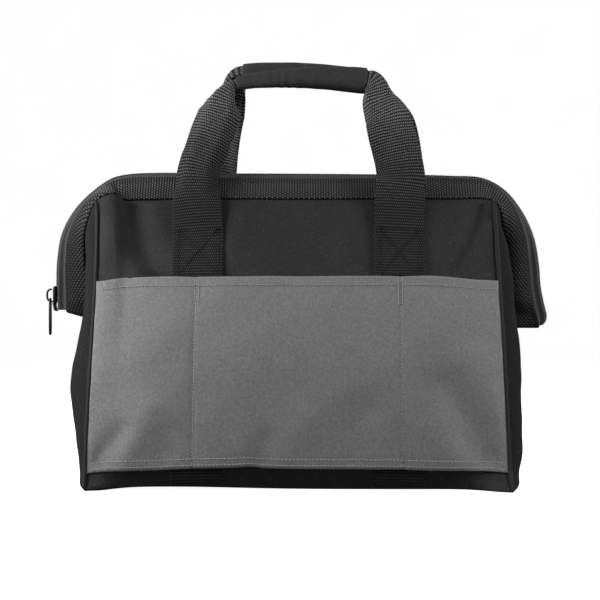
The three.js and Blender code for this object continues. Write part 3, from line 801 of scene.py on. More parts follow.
@dataclass(frozen=True)
class Mouth:
    """The closed mouth: the zip's line over the top and down both ends, with the tape and band beside it."""

    band_width: float = 25
    tape_width: float = 9  # The width of one side of the zip's tape.
    fold_flatness: float = 0.3  # How flat the band's turn is at an ear's tip.
    # How much lower the band's edge beside the cloth ends than its other edge at the left tip, and how much
    # higher at the right one.
    slants: tuple[float, float] = (4.5, 4.5)
    slant_reach: float = 0.066  # The share of the line over which that starts.
    turned_in: float = 10  # How far the right ear's band turns in towards the middle.
    turn_at: tuple[float, float] = (0.755, 0.85)  # The places on the line between which it turns.
    # The zip's line, from the left ear's tip to the right ear's tip.
    rows: tuple[MouthRow, ...] = tuple(MouthRow(*row) for row in (
        (-207.5, 140.5, 8, 24), (-207.6, 162, 8, 21), (-206.9, 183, 7.5, 19), (-202.8, 206, 6.5, 17),
        (-191.4, 226.6, 5, 13), (-175.6, 242.4, 3.6, 8.6), (-160, 252.6, 2.6, 13.4), (-146, 255.8, 3.1, 20),
        (-124, 256.9, 3.4, 19.9), (-80, 256.6, 3.3, 19.2), (0, 256.2, 4.2, 18.2), (80, 255.5, 2.7, 18.8),
        (128, 254.5, 1.9, 18.7), (157, 252.3, 1.9, 17), (175, 242.2, 3.5, 13), (189.4, 224.4, 5.2, 18),
        (199.2, 203, 7, 22), (203.4, 181, 8, 23.3), (205.5, 158, 8, 24), (212, 129, 8, 24),
    ))

    @cached_property
    def line(self) -> SmoothLine:
        """The zip's line."""
        return SmoothLine([(row.x, 0, row.z) for row in self.rows])

    @cached_property
    def lean(self) -> SmoothLine:
        """The rises of the tape and the band along the line."""
        return SmoothLine([(row.tape_rise, row.band_rise, 0) for row in self.rows])

    def outward(self, t: Array) -> Array:
        """The direction away from the bag in the line's plane, square to the line."""
        along = self.line.tangent(t)
        return vector(-along[..., 2], 0, along[..., 0])

    def edges(self, t: Array, side: Side) -> tuple[Array, Array]:
        """The band's edge beside the tape and its edge beside the cloth.

        The tape and then the band step back from the line by their rise, and to the side by what is left of
        their width.

        Args:
            t: Places along the line.
            side: The side of the bag.

        Returns:
            The two edges.
        """
        out, lean = self.outward(t), self.lean.at(t)
        tape_run = np.sqrt(self.tape_width**2 - lean[..., 0] ** 2)
        band_run = np.sqrt(self.band_width**2 - lean[..., 1] ** 2)
        turned = smooth((t - self.turn_at[0]) / (self.turn_at[1] - self.turn_at[0]))
        band_run = band_run - self.turned_in * turned
        outer = self.line.at(t) - out * lean[..., :1]
        outer[..., 1] = side * tape_run
        drop = self.slants[0] * (1 - smooth(t / self.slant_reach))
        drop = drop + self.slants[1] * (1 - smooth((1 - t) / self.slant_reach))
        inner = outer - out * lean[..., 1:2] - self.line.tangent(t) * drop[..., None]
        inner[..., 1] = side * (tape_run + band_run)
        return outer, inner

    def tip(self, end: End, turn: Array) -> tuple[Array, Array]:
        """The band's edges where it turns from the front to the back at an ear's tip.

        Each edge goes round a flattened half circle: its y by the cosine of the turn, and its reach beyond
        the tip by the sine.

        Args:
            end: The ear's end of the bag.
            turn: Angles from 0 at the front to pi at the back.

        Returns:
            The two edges.
        """
        t = np.array(float(end.place))
        beyond = self.line.tangent(t) * end
        carried = []
        for edge in self.edges(t, Side.FRONT):
            reach = abs(edge[1])
            moved = edge + beyond * (reach * self.fold_flatness * np.sin(turn))[..., None]
            moved[..., 1] = -reach * np.cos(turn)
            carried.append(moved)
        return carried[0], carried[1]

    def loop(self, steps: int, turns: int) -> tuple[Array, Array]:
        """The band's two edges all the way round, from the left tip along the front and back again.

        Args:
            steps: Points along each side.
            turns: Points round each tip.

        Returns:
            The edge beside the tape and the edge beside the cloth.
        """
        t = np.linspace(0, 1, steps)
        turn = np.linspace(0, math.pi, turns + 2)[1:-1]
        stretches = [
            self.edges(t, Side.FRONT),
            self.tip(End.RIGHT, turn),
            self.edges(t[::-1], Side.BACK),
            self.tip(End.LEFT, turn[::-1]),
        ]
        outer, inner = (np.vstack(edge) for edge in zip(*stretches))
        return outer, inner

    def t_at_x(self, x: Array) -> Array:
        """Where on the line the band's edge beside the cloth has a given x."""
        t = np.linspace(0.2, 0.8, 4000)
        return np.interp(x, self.edges(t, Side.FRONT)[1][:, 0], t)


@dataclass(frozen=True)
class WallForm:
    """The smooth form of the front and back walls, from the base's edge to the mouth's band."""

    mouth: Mouth
    foot_ends: tuple[float, float] = (-168.3, 164.6)  # The x of a wall's two corners at the base.
    top_ends: tuple[float, float] = (-170, 162)  # The x of a wall's two corners at the band.
    seam_bow: float = 5.6  # How far the left seam bows towards the middle, high up.
    base_depth: float = 200
    end_bulges: tuple[float, float] = (12.5, 16)  # How far the base's left and right ends bulge.
    squareness: float = 3.5  # How square its corners are.
    cloth: float = 1.6
    foot: float = 2.7  # The height of a wall's lowest line.
    bow: float = 5  # How far the side seams bow out.
    crown: float = 15  # How far a wall's flat middle stands out from its seams.
    flatness: float = 4.5  # How flat that middle is.
    under: float = 5  # How far the lowest line lies back under the wall.
    under_reach: float = 0.075  # The share of the wall's height over which it curves back.
    # How far the wall's foot stands out at its left and right corners.
    corner_push: tuple[float, float] = (9, 17)
    corner_reach: float = 0.07  # The share of the wall's width over which that fades.
    ease: float = 0.09  # The share of the wall's width over which the top line's bends are eased below it.
    head_gap: float = 2.2  # The distance of a wall's top line below the band.
    # Where and how far the lowest line rises off the floor, as (x, half width, height).
    foot_lifts: tuple[tuple[float, float, float], ...] = (
        (-104, 75, 2), (-168, 22, -1.7), (165, 32, -2))

    def corner(self, u: Array) -> Array:
        """How far the foot stands out across the wall: a bell at each corner."""
        left, right = (hump(u - end, self.corner_reach) for end in (0, 1))
        return self.corner_push[0] * left + self.corner_push[1] * right

    def seam_shift(self, u: Array, v: Array) -> Array:
        """How far the left seam's bow moves a point: most at the seam, and fading to the wall's middle."""
        rise = np.clip(v, 0, 1)
        bowed = self.seam_bow * rise**1.3 * np.clip(np.sin(math.pi * rise), 0, 1) ** 0.6
        return bowed * (1 - smooth(u / 0.45))

    def foot_lift(self, x: Array) -> Array:
        """How far the lowest line rises at x: a sum of bells."""
        return sum(height * hump(x - middle, half) for middle, half, height in self.foot_lifts)

    def head(self, side: Side, u: Array) -> tuple[Array, Array, Array]:
        """A wall's top line.

        Args:
            side: The side of the bag.
            u: Places across, from 0 on the left to 1 on the right.

        Returns:
            Its points, the direction up along the band there, and the direction into the bag.
        """
        t = self.mouth.t_at_x(mix(*self.top_ends, u))
        outer, inner = self.mouth.edges(t, side)
        down = unit(inner - outer)
        inward = unit(np.cross(self.mouth.line.tangent(t), down)) * -side
        return inner + down * self.head_gap, -down, inward

    def surface(self, side: Side, u: Array, v: Array) -> Array:
        """Points of a wall.

        A straight blend from the foot to the top line, bowed out by a sine up the wall whose height is the
        bow at the seams and the bow plus the crown in the middle. Below the top line its bends are eased to
        their mean over a short reach. Close to the foot it curves back under by the square of what is left
        of a short reach.

        Args:
            side: The side of the bag.
            u: Places across, from 0 on the left to 1 on the right.
            v: Places up, from 0 at the foot to 1 at the top line.

        Returns:
            The points.
        """
        head = self.head(side, u)[0]
        reach = np.minimum(np.minimum(u, 1 - u), self.ease)
        eased = sum(self.head(side, u + reach * share)[0][..., 1] for share in np.linspace(-1, 1, 9)) / 9
        u, v = np.broadcast_arrays(u, v)
        x = mix(*self.foot_ends, u)
        foot = vector(x, side * (self.base_depth / 2 - self.cloth), self.foot + self.foot_lift(x))
        points = mix(foot, head, v[..., None])
        points[..., 1] += (eased - head[..., 1]) * v * (1 - v**3)
        points[..., 0] += self.seam_shift(u, v)
        crown = self.crown * (1 - np.abs(2 * u - 1) ** self.flatness)
        back = (self.under - self.corner(u)) * np.clip(1 - v / self.under_reach, 0, 1.1) ** 2
        points[..., 1] += side * ((self.bow + crown) * np.sin(math.pi * v) - back)
        return points

    def facing(self, side: Side, v: Array) -> Array:
        """The direction that the middle of a wall faces at a height.

        Args:
            side: The side of the bag.
            v: Places up, from 0 to 1.

        Returns:
            Unit directions.
        """
        middle, reach = np.full_like(v, 0.5, float), 0.02
        above = self.surface(side, middle, np.minimum(v + reach, 1))
        rise = above - self.surface(side, middle, np.maximum(v - reach, 0))
        return unit(vector(0, side * rise[..., 2], -side * rise[..., 1]))

    def across_at_x(self, x: Array, v: Array) -> Array:
        """The place across a wall, from 0 to 1, of a given x at a height."""
        left, right = (mix(foot, top, v) for foot, top in zip(self.foot_ends, self.top_ends))
        return (x - left) / (right - left)


def foot_roll(foot: Array, inward: Array, radius: float = 2.5, count: int = 5) -> Array:
    """Rows that roll a wall's foot under it: a quarter circle from upright to flat.

    Args:
        foot: The wall's lowest line.
        inward: The level direction into the bag at each of its points.
        radius: The roll's radius where the floor leaves it room.
        count: The number of rows.

    Returns:
        The rows, from the lowest up to just below the wall's own first row.
    """
    turn = np.linspace(math.pi / 2, 0, count, endpoint=False)[:, None, None]
    radius = np.minimum(radius, foot[..., 2:] - 0.15)
    return foot + radius * (inward * (1 - np.cos(turn)) + np.array((0, 0, -1)) * np.sin(turn))


def head_tuck(head: Array, up: Array, inward: Array, gap: float, reach: float, depth: float = 1.5,
              count: int = 6) -> Array:
    """Rows that carry cloth on from its top line, a gap below the band, up to a depth behind the band."""
    s = np.linspace(0, reach, count + 1)[1:, None, None]
    return head + up * s + inward * depth * smooth(s / gap)


@dataclass(frozen=True)
class Walls:
    """The front and back walls of black cloth."""

    form: WallForm
    columns: int = 150  # Points across a wall.
    rows: int = 104  # Points up it.
    tuck: float = 8  # How far the cloth goes on behind the band.
    pucker: float = 0.55  # The height of the small gathers along the band's seam.
    pucker_pitch: float = 31  # The distance between them.
    cut: tuple[float, float] = (340, 262)  # The flat size of a wall's cloth.
    # The heights on the front that the pocket hides, as shares.
    covered: tuple[float, float] = (0.075, 0.68)
    sunk: float = 3  # How far the front lies back there.
    stitch_height: float = 0.034  # The height of the sewn line along the foot, as a share of the wall.
    front_folds: tuple[Fold, ...] = (
        Fold(((-141, 232), (-139, 212), (-134, 197), (-128, 184), (-119, 173), (-108, 163)), 8, -5.4),
        Fold(((-155, 238), (-153, 214), (-149, 203)), 12, 2.4),
        Fold(((-148, 202), (-142, 188), (-133, 174)), 19, 4.6),
        Fold(((-119, 228), (-115, 202), (-98, 180)), 9, 2),
        Fold(((142, 230), (127, 200), (116, 180)), 8, 3),
        Fold(((153, 226), (139, 200), (122, 172)), 7, -3),
        Fold(((160, 212), (146, 192), (136, 176)), 7, 2.6),
        Fold(((-18, 226), (6, 176)), 24, -3.2),
        Fold(((24, 218), (30, 180)), 14, -1.6),
        Fold(((50, 222), (34, 182)), 10, 1.6),
        Fold(((-46, 226), (-60, 180)), 12, 1.2),
        Fold(((146, 24), (116, 80)), 16, -3.4),
    )
    back_folds: tuple[Fold, ...] = (
        Fold(((148, 232), (118, 176)), 10, -3.6),
        Fold(((-146, 226), (-120, 178)), 10, -2.8),
        Fold(((14, 222), (-8, 168)), 24, -2.4),
        Fold(((-132, 40), (-104, 84)), 12, -2.2),
        Fold(((128, 34), (104, 90)), 13, -2.0),
        Fold(((30, 120), (6, 60)), 26, -1.6),
    )

    def build(self) -> None:
        for side, folds in ((Side.FRONT, self.front_folds), (Side.BACK, self.back_folds)):
            name = side.name.lower()
            patch = Patch.grid(self.surface(side, folds)).facing(np.array((0, side, 0)))
            piece = make_piece(f"{name}_wall", patch, BLACK_CLOTH, "black_cloth")
            thicken(piece, self.form.cloth)
            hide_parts(f"{name}_panel")
            u = np.linspace(0.02, 0.98, 400)
            line = self.shown(side, folds, u, np.full_like(u, self.stitch_height))
            facing = np.tile(self.form.facing(side, np.array([self.stitch_height])), (len(u), 1))
            stitches = Stitches().run(line, facing)
            sewn = make_piece(f"{name}_wall_stitches", stitches, BLACK_THREAD, "black_cloth")

    def shown(self, side: Side, folds: tuple[Fold, ...], u: Array, v: Array) -> Array:
        """A wall's shown face: the smooth form with folds, gathers under the band and faint waves.

        Args:
            side: The side of the bag.
            folds: The folds in it.
            u: Places across.
            v: Places up.

        Returns:
            The points.
        """
        points = self.form.surface(side, u, v)
        x, z = points[..., 0], points[..., 2]
        gathers = np.sin(x * TAU / self.pucker_pitch + np.sin(x / 23) * 1.4)
        near_band = np.exp(-(1 - v) / 0.09) * (1 - np.exp(-(1 - v) / 0.012))
        lift = relief(folds, x, z) + self.pucker * gathers * near_band
        lift = lift + ripples(x, z, seed=11 + side, size=70, height=0.5)
        lift = lift + ripples(x, z, seed=21 + side, size=26, height=0.12)
        if side is Side.FRONT:
            low, high = self.covered
            lift = lift - self.sunk * smooth((v - low) / 0.06) * smooth((high - v) / 0.06)
        edge = smooth(v / 0.04) * smooth((1 - v) / 0.03) * smooth(np.minimum(u, 1 - u) / 0.02)
        points[..., 1] += side * lift * edge
        return points

    def surface(self, side: Side, folds: tuple[Fold, ...]) -> Array:
        """The rows of a wall's cloth: rolled under at the foot, shown, and carried up behind the band.

        Args:
            side: The side of the bag.
            folds: The folds in the wall.

        Returns:
            The points.
        """
        u, v = np.linspace(0, 1, self.columns), np.linspace(0, 1, self.rows)[:, None]
        points = self.shown(side, folds, u, v)
        inward = np.array((0.0, -side, 0.0))
        head, up, into = self.form.head(side, u)
        return np.concatenate([
            foot_roll(points[0], inward),
            points,
            head_tuck(head, up, into, self.form.head_gap, self.tuck),
        ])


@dataclass(frozen=True)
class Stitches:
    """Stitches of a sewn line."""

    pitch: float = 3  # The distance from one stitch to the next.
    length: float = 2.2  # The length of thread that shows.
    radius: float = 0.34
    rise: float = 0.4  # How far a stitch stands up in its middle.
    sink: float = 0.05  # How far its ends go into the cloth.
    slant: float = 0  # How far a stitch is turned out of its line, in degrees.

    def one(self) -> Patch:
        """A stitch along x: a thread whose height falls with the square of its distance from the middle.

        Returns:
            The stitch.
        """
        share = np.array((-1, -0.7, 0, 0.7, 1))
        radius = self.radius * np.array((0.55, 0.9, 1, 0.9, 0.55))
        turn = np.arange(6) * TAU / 6
        x = (share * self.length / 2)[:, None]
        y = radius[:, None] * np.cos(turn)
        z = radius[:, None] * np.sin(turn) + (self.rise * (1 - share**2) - self.sink)[:, None]
        weave = vector(np.broadcast_to(turn, y.shape), x, 0)
        return Patch.closed(vector(x, y, z), weave)

    def run(self, line: Array, normals: Array) -> Patch:
        """A row of stitches.

        Args:
            line: A dense line on the cloth.
            normals: The direction out of the cloth at each of its points.

        Returns:
            The stitches, as one patch.
        """
        shares, _ = resampled(line, self.pitch)
        shares = (shares[:-1] + shares[1:]) / 2
        along = between(unit(np.gradient(line, axis=0)), shares)
        out = unit(between(normals, shares))
        beside = unit(np.cross(out, along))
        along = np.cross(beside, out)
        slant = math.radians(self.slant)
        along, beside = (along * math.cos(slant) + beside * math.sin(slant),
                         beside * math.cos(slant) - along * math.sin(slant))
        return self.one().repeated(between(line, shares), np.stack([along, beside, out], axis=1))


@dataclass(frozen=True)
class Pocket:
    """The grey pocket over the front wall, sewn at its sides and foot and along two dividers."""

    wall: WallForm
    cloth: float = 1.4
    low: float = 0.055  # The height of its foot on the wall, as a share.
    high: float = 0.705  # The height of its top edge.
    wall_height: float = 241  # About how tall the wall is along its slope.
    seam_inset: float = 0.9  # The distance of its sides from the wall's seams.
    side_fall: float = 0.17  # The share of the width over which it falls to the wall at its sides.
    seat: float = 1.7  # How far it lies above the wall at its sides.
    lift: float = 5.0  # How far it lies above the wall over the straps.
    dividers: tuple[float, float] = (-84, 80.5)  # The x of the two sewn dividers.
    hem: float = 7.6  # The distance of the hem's stitches below the top edge.
    hem_rise: float = 0.2  # How much thicker the hem is.
    foot_groove: tuple[float, float] = (0.2, 1.2)  # The depth and half width of a sewn line's groove.
    # The depths and half widths of a divider's groove and of the dip round it.
    divider_grooves: tuple[tuple[float, float], ...] = ((0.75, 1.5), (0.5, 9))
    # How much higher its foot lies at places across it, as shares of the wall's height.
    foot_rises: tuple[tuple[float, float], ...] = (
        (0, 0), (0.08, -0.002), (0.17, -0.002), (0.26, 0.005), (0.34, 0.0085), (0.385, 0.0135),
        (0.43, 0.0095), (0.72, 0.0085), (0.82, 0.0045), (0.92, 0.0055), (1, 0.0075))
    foot_lines: tuple[float, float] = (2.4, 7.2)  # The distances of two sewn lines above the foot.
    tack: float = 24  # The length of the doubled stitches at the top of a divider.
    # How much higher the top edge is at the left and right than the wall's height there.
    top_tilt: tuple[float, float] = (0.8, 2)
    # How far the top edge falls at the left and right corner.
    corner_drops: tuple[float, float] = (2.2, 2.6)
    corner_reach: tuple[float, float] = (0.15, 0.4)  # The shares of half the width over which it does.
    columns: int = 190  # Points across.
    rows: int = 100  # Points up.
    cut: tuple[float, float] = (332, 172)  # The flat size of its cloth.
    folds: tuple[Fold, ...] = (
        Fold(((-156, 27), (-140, 46)), 9, -2.2),
        Fold(((-138, 26), (-118, 62)), 10, 1.4),
        Fold(((-100, 62), (-120, 110)), 16, 0.8),
        Fold(((-112, 24), (-98, 44)), 12, -1.2),
        Fold(((146, 24), (116, 80)), 14, -4.8),
        Fold(((158, 62), (138, 104)), 13, 1.8),
        Fold(((118, 26), (104, 50)), 10, 1.4),
        Fold(((-34, 22), (-28, 38)), 9, -1.3),
        Fold(((-10, 26), (6, 54)), 12, 1.0),
        Fold(((38, 30), (52, 60)), 14, -0.9),
    )

    @property
    def inset(self) -> float:
        """The distance of its sides from the wall's seams, as a share of the wall's width."""
        return self.seam_inset / (self.wall.foot_ends[1] - self.wall.foot_ends[0])

    @property
    def height(self) -> float:
        """About how tall the pocket's cloth is."""
        return (self.high - self.low) * self.wall_height

    def surface(self, u: Array, v: Array) -> Array:
        """The pocket's shown face.

        The wall's form, moved out along its facing by the lift, with a thicker hem, a groove along each sewn
        line, folds and faint waves. The top edge is level, but for a slight tilt and a fall at both corners.

        Args:
            u: Places across, from 0 on the left to 1 on the right.
            v: Places up, from 0 at the foot to 1 at the top edge.

        Returns:
            The points.
        """
        u, v = np.broadcast_arrays(u, v)
        ends = np.abs(2 * u - 1)
        places, rises = np.array(self.foot_rises).T
        foot = self.low + np.interp(u, places, rises) - 0.004 * ends**10
        across = mix(self.inset, 1 - self.inset, u)
        reached = self.wall.surface(Side.FRONT, across, np.full(u.shape, self.high))[..., 2]
        middle = self.wall.surface(Side.FRONT, np.array(0.5), np.array(self.high))[..., 2]
        drop, reach = np.where(u < 0.5, *self.corner_drops), np.where(u < 0.5, *self.corner_reach)
        wanted = middle + mix(*self.top_tilt, u) - drop * smooth((ends - 1 + reach) / reach)
        level = mix(foot, self.high * wanted / reached, v)
        points = self.wall.surface(Side.FRONT, across, level)
        x, z = points[..., 0], points[..., 2]
        lift = mix(self.seat, self.lift, smooth(np.minimum(u, 1 - u) / self.side_fall))
        below_top, above_foot = (1 - v) * self.height, v * self.height
        inside = smooth(np.minimum(u, 1 - u) / 0.03)
        soft = relief(self.folds, x, z) + ripples(x, z, seed=31, size=60, height=0.3)
        soft = soft + ripples(x, z, seed=32, size=24, height=0.08)
        lift = lift + soft * inside + self.hem_rise * smooth((self.hem - below_top) / 2.4 + 0.5)
        depth, half = self.foot_groove
        for line in self.foot_lines:
            lift = lift - depth * hump(above_foot - line, half)
        for divider in self.dividers:
            for depth, half in self.divider_grooves:
                lift = lift - depth * hump(x - divider, half)
        return points + self.wall.facing(Side.FRONT, level) * lift[..., None]

    def normals(self, u: Array, v: Array) -> Array:
        """The direction out of the pocket: square to a small step across and a small step up.

        Args:
            u: Places across, from 0 to 1.
            v: Places up, from 0 to 1.

        Returns:
            Unit directions.
        """
        step = 0.004
        across = self.surface(u + step, v) - self.surface(u - step, v)
        up = self.surface(u, np.minimum(v + step, 1)) - self.surface(u, np.maximum(v - step, 0))
        return unit(np.cross(across, up))

    def sewn(self, u: Array, v: Array, stitches: Stitches) -> Patch:
        """Stitches along a line on the pocket, given by its places across and up."""
        u, v = np.broadcast_arrays(u, v)
        return stitches.run(self.surface(u, v), self.normals(u, v))

    def divider_u(self, x: float, v: Array) -> Array:
        """The place across the pocket of a given x at each height."""
        level = mix(self.low, self.high, v)
        return (self.wall.across_at_x(x, level) - self.inset) / (1 - 2 * self.inset)

    def build(self) -> None:
        u, v = np.linspace(0, 1, self.columns), np.linspace(0, 1, self.rows)[:, None]
        patch = Patch.grid(self.surface(u, v)).facing(np.array((0, -1, 0)))
        piece = make_piece("pocket_cloth", patch, GREY_CLOTH, "grey_cloth")
        thicken(piece, self.cloth)
        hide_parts("pocket_panel")
        across = np.linspace(0.012, 0.988, 500)
        up = np.linspace(0.015, 0.985, 400)
        tacked = np.linspace(1 - self.tack / self.height, 0.99, 60)
        lines = [self.sewn(across, 1 - self.hem / self.height, Stitches())]
        lines += [self.sewn(across, line / self.height, Stitches()) for line in self.foot_lines]
        for x in self.dividers:
            lines.append(self.sewn(self.divider_u(x, up), up, Stitches(slant=24, pitch=2.8)))
            for aside in (-1.7, 1.7):
                beside = self.divider_u(x + aside, tacked)
                lines.append(self.sewn(beside, tacked, Stitches(pitch=2.2, length=1.9)))
        stitches = make_piece("pocket_stitches", Patch.joined(lines), GREY_THREAD, "grey_cloth")


@dataclass(frozen=True)
class Gusset:
    """One end of the bag: cloth from the base up to the band, folded in under the ear."""

    form: WallForm
    end: End
    swell: float  # How far its middle swells.
    tuck: float  # The depth of the fold under the ear.
    # Narrow folds beside the seam, as (place from the seam to the middle, half width, height).
    creases: tuple[tuple[float, float, float], ...]
    seed: int  # The seed of its faint waves.
    # Where the ridge lies, from 0 at a seam to 1 at the middle, and its height up the cloth.
    ridge_at: tuple[float, float]
    ridge_half: tuple[float, float]  # Half the ridge's width and height, as shares.
    ridge: float = 9  # The height of the soft ridge beside each seam.
    tuck_at: float = 0.52  # Where the fold under the ear lies.
    tuck_half: float = 0.2  # Half its width.
    tuck_reach: float = 7  # How far the cloth goes on behind the band.
    seam_gap: float = 1.3  # How far below the band its top line lies.
    columns: int = 161  # Points round it.
    rows: int = 96  # Points up it.
    cut: tuple[float, float] = (255, 235)  # The flat size of its cloth.
    cut_area: float = 34000  # The area of that cloth, whose top edge is cut to a deep notch.

    def top(self, f: Array) -> tuple[Array, Array, Array]:
        """The top line on the front half, from the wall's corner along the band to the ear's tip.

        Args:
            f: Places along it by length, from 0 at the corner to 1 at the tip's middle.

        Returns:
            Its points, the direction up along the band there, and the direction into the bag.
        """
        mouth = self.form.mouth
        corner = mouth.t_at_x(np.array(self.form.top_ends[self.end.place]))
        outer, inner = mouth.edges(np.linspace(corner, self.end.place, 400), Side.FRONT)
        tip_outer, tip_inner = mouth.tip(self.end, np.linspace(0, math.pi / 2, 80)[1:])
        outer, inner = np.vstack([outer, tip_outer]), np.vstack([inner, tip_inner])
        down = unit(inner - outer)
        points = inner + down * self.seam_gap
        inward = unit(np.cross(np.gradient(points, axis=0), down))
        inward = inward * np.sign(inward[0, 1])
        lengths = lengths_along(points)
        share = np.interp(f, lengths / lengths[-1], np.linspace(0, 1, len(points)))
        return between(points, share), -unit(between(down, share)), unit(between(inward, share))

    def surface(self) -> Array:
        """The gusset's shown face.

        On each half, a straight blend from the base's bulging end to the top line. It is moved along x by
        the swell times a sine up the cloth, by a ridge and narrow creases beside the seam, and into the
        bag by the fold under the ear.

        Returns:
            Rows of points, from under the foot to behind the band.
        """
        u, v = np.linspace(0, 1, self.columns), np.linspace(0, 1, self.rows)[:, None]
        side = np.where(u < 0.5, Side.FRONT, Side.BACK)
        f = 1 - np.abs(2 * u - 1)
        deep = self.form.base_depth / 2 - self.form.cloth - self.form.under
        corner, bulge = abs(self.form.foot_ends[self.end.place]), self.form.end_bulges[self.end.place]
        out = corner + bulge * (1 - (1 - f) ** self.form.squareness)
        foot = vector(self.end * out, -deep * (1 - f), self.form.foot)
        head, up, into = self.top(f)
        points = mix(foot, head, v[..., None])
        belly = np.sin(math.pi * v)
        ends = smooth(v / 0.12) * smooth((1 - v) / 0.12)
        ridge = self.ridge * hump(f - self.ridge_at[0], self.ridge_half[0]) * ends
        push = self.swell * f * belly + ridge * hump(v - self.ridge_at[1], self.ridge_half[1])
        for place, half, height in self.creases:
            push = push + height * hump(f - place * (1 - 0.35 * v), half) * ends
        tuck = self.tuck * hump(f - self.tuck_at, self.tuck_half) * smooth(v / 0.6) * (1 - v**8)
        points[..., 0] += self.end * (push - 0.5 * tuck)
        points[..., 1] += 0.85 * tuck
        seam = self.form.surface(Side.FRONT, np.full_like(v, self.end.place), v) - points[:, :1]
        points += seam * ((1 - f) ** 3)[:, None]
        mirror = vector(1, -side, 1)
        points, head, up, into = points * mirror, head * mirror, up * mirror, into * mirror
        edge = smooth(v / 0.05) * smooth((1 - v) / 0.05) * smooth(f / 0.08)
        waves = ripples(points[..., 1], points[..., 2], self.seed, size=62, height=0.8)
        waves = waves + ripples(points[..., 1], points[..., 2], self.seed + 1, size=24, height=0.18)
        points[..., 0] += self.end * waves * edge
        run = np.gradient(points[0], axis=0)
        inward = unit(vector(-run[:, 1], run[:, 0], 0))
        inward = inward * -self.end * np.sign(inward[:, :1])
        return np.concatenate([
            foot_roll(points[0], inward),
            points,
            head_tuck(head, up, into, self.seam_gap, self.tuck_reach),
        ])

    def build(self) -> None:
        name = self.end.name.lower()
        patch = Patch.grid(self.surface()).facing(np.array((self.end, 0, 0)))
        piece = make_piece(f"gusset_cloth_{name}", patch, SHADED_END_CLOTH, "black_cloth")
        thicken(piece, self.form.cloth)
        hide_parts(f"gusset_{name}")


@dataclass(frozen=True)
class Base:
    """The bag's flat base, whose long edges rise a little with the walls."""

    form: WallForm
    inset: float = 2.2  # The distance of its edge inside the walls' foot.
    thick: float = 2
    columns: int = 90  # Points along it.
    rows: int = 50  # Points across it.

    def build(self) -> None:
        """Makes the base: at each depth a straight row as long as the bulging ends leave it."""
        reach = self.form.base_depth / 2 - self.form.cloth - self.form.under
        v = np.linspace(-1, 1, self.rows)[:, None]
        u = np.linspace(0, 1, self.columns)
        rounding = 1 - np.abs(v) ** self.form.squareness
        left, right = self.form.foot_ends
        left = left - self.form.end_bulges[0] * rounding + self.inset
        x = mix(left, right + self.form.end_bulges[1] * rounding - self.inset, u)
        y = v * (reach - self.inset + self.form.corner(u) * np.abs(v) ** 10)
        z = 0.15 + np.maximum(self.form.foot_lift(x), 0) * np.abs(v) ** 8
        patch = Patch.grid(vector(x, y, z)).facing(np.array((0, 0, -1)))
        piece = make_piece("base_cloth", patch, BLACK_CLOTH, "black_cloth")
        thicken(piece, self.thick)
        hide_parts("base_panel")


@dataclass(frozen=True)
class Piping:
    """The piped side seams."""

    form: WallForm
    radius: float = 1.8
    proud: float = 1  # How far its middle stands out from the seam.
    span: tuple[float, float] = (0, 1.004)  # The heights between which it runs, as shares of the wall.
    sides: int = 14  # Points round it.
    rows: int = 140  # Points along it.

    def build(self) -> None:
        """Makes the four pipings: tubes along the seams whose radius wanders a little."""
        v = np.linspace(*self.span, self.rows)
        for side in Side:
            for end in End:
                line = self.form.surface(side, np.full_like(v, end.place), v)
                line = line + np.array((0, side * self.proud, 0))
                rounding = np.sqrt(np.clip(1 - (2 * (v - v[0]) / (v[-1] - v[0]) - 1) ** 40, 0.05, 1))
                radius = self.radius * rounding * (1 + 0.05 * np.sin(line[:, 2] / 5 + 3 * end))
                patch = Patch.closed(tube(line, radius, self.sides))
                name = f"{side.name}_{end.name}".lower()
                piece = make_piece(f"seam_piping_{name}", patch, PIPING_CLOTH, "black_cloth")
                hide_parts(f"piping_{name}")


def ribbed(length: Array, pitch: float, height: float) -> Array:
    """The ribs of webbing: the size of a sine along it, raised to a power and set about its mean."""
    return height * (np.abs(np.sin(math.pi * length / pitch)) ** 0.7 - 0.5)


def edge_taper(across: Array, half: float, rounding: float = 1.2) -> Array:
    """How thick webbing is near its edges, as a share: a quarter circle over the last stretch."""
    past = np.clip((np.abs(across) - (half - rounding)) / rounding, 0, 0.94)
    return np.sqrt(1 - past**2)


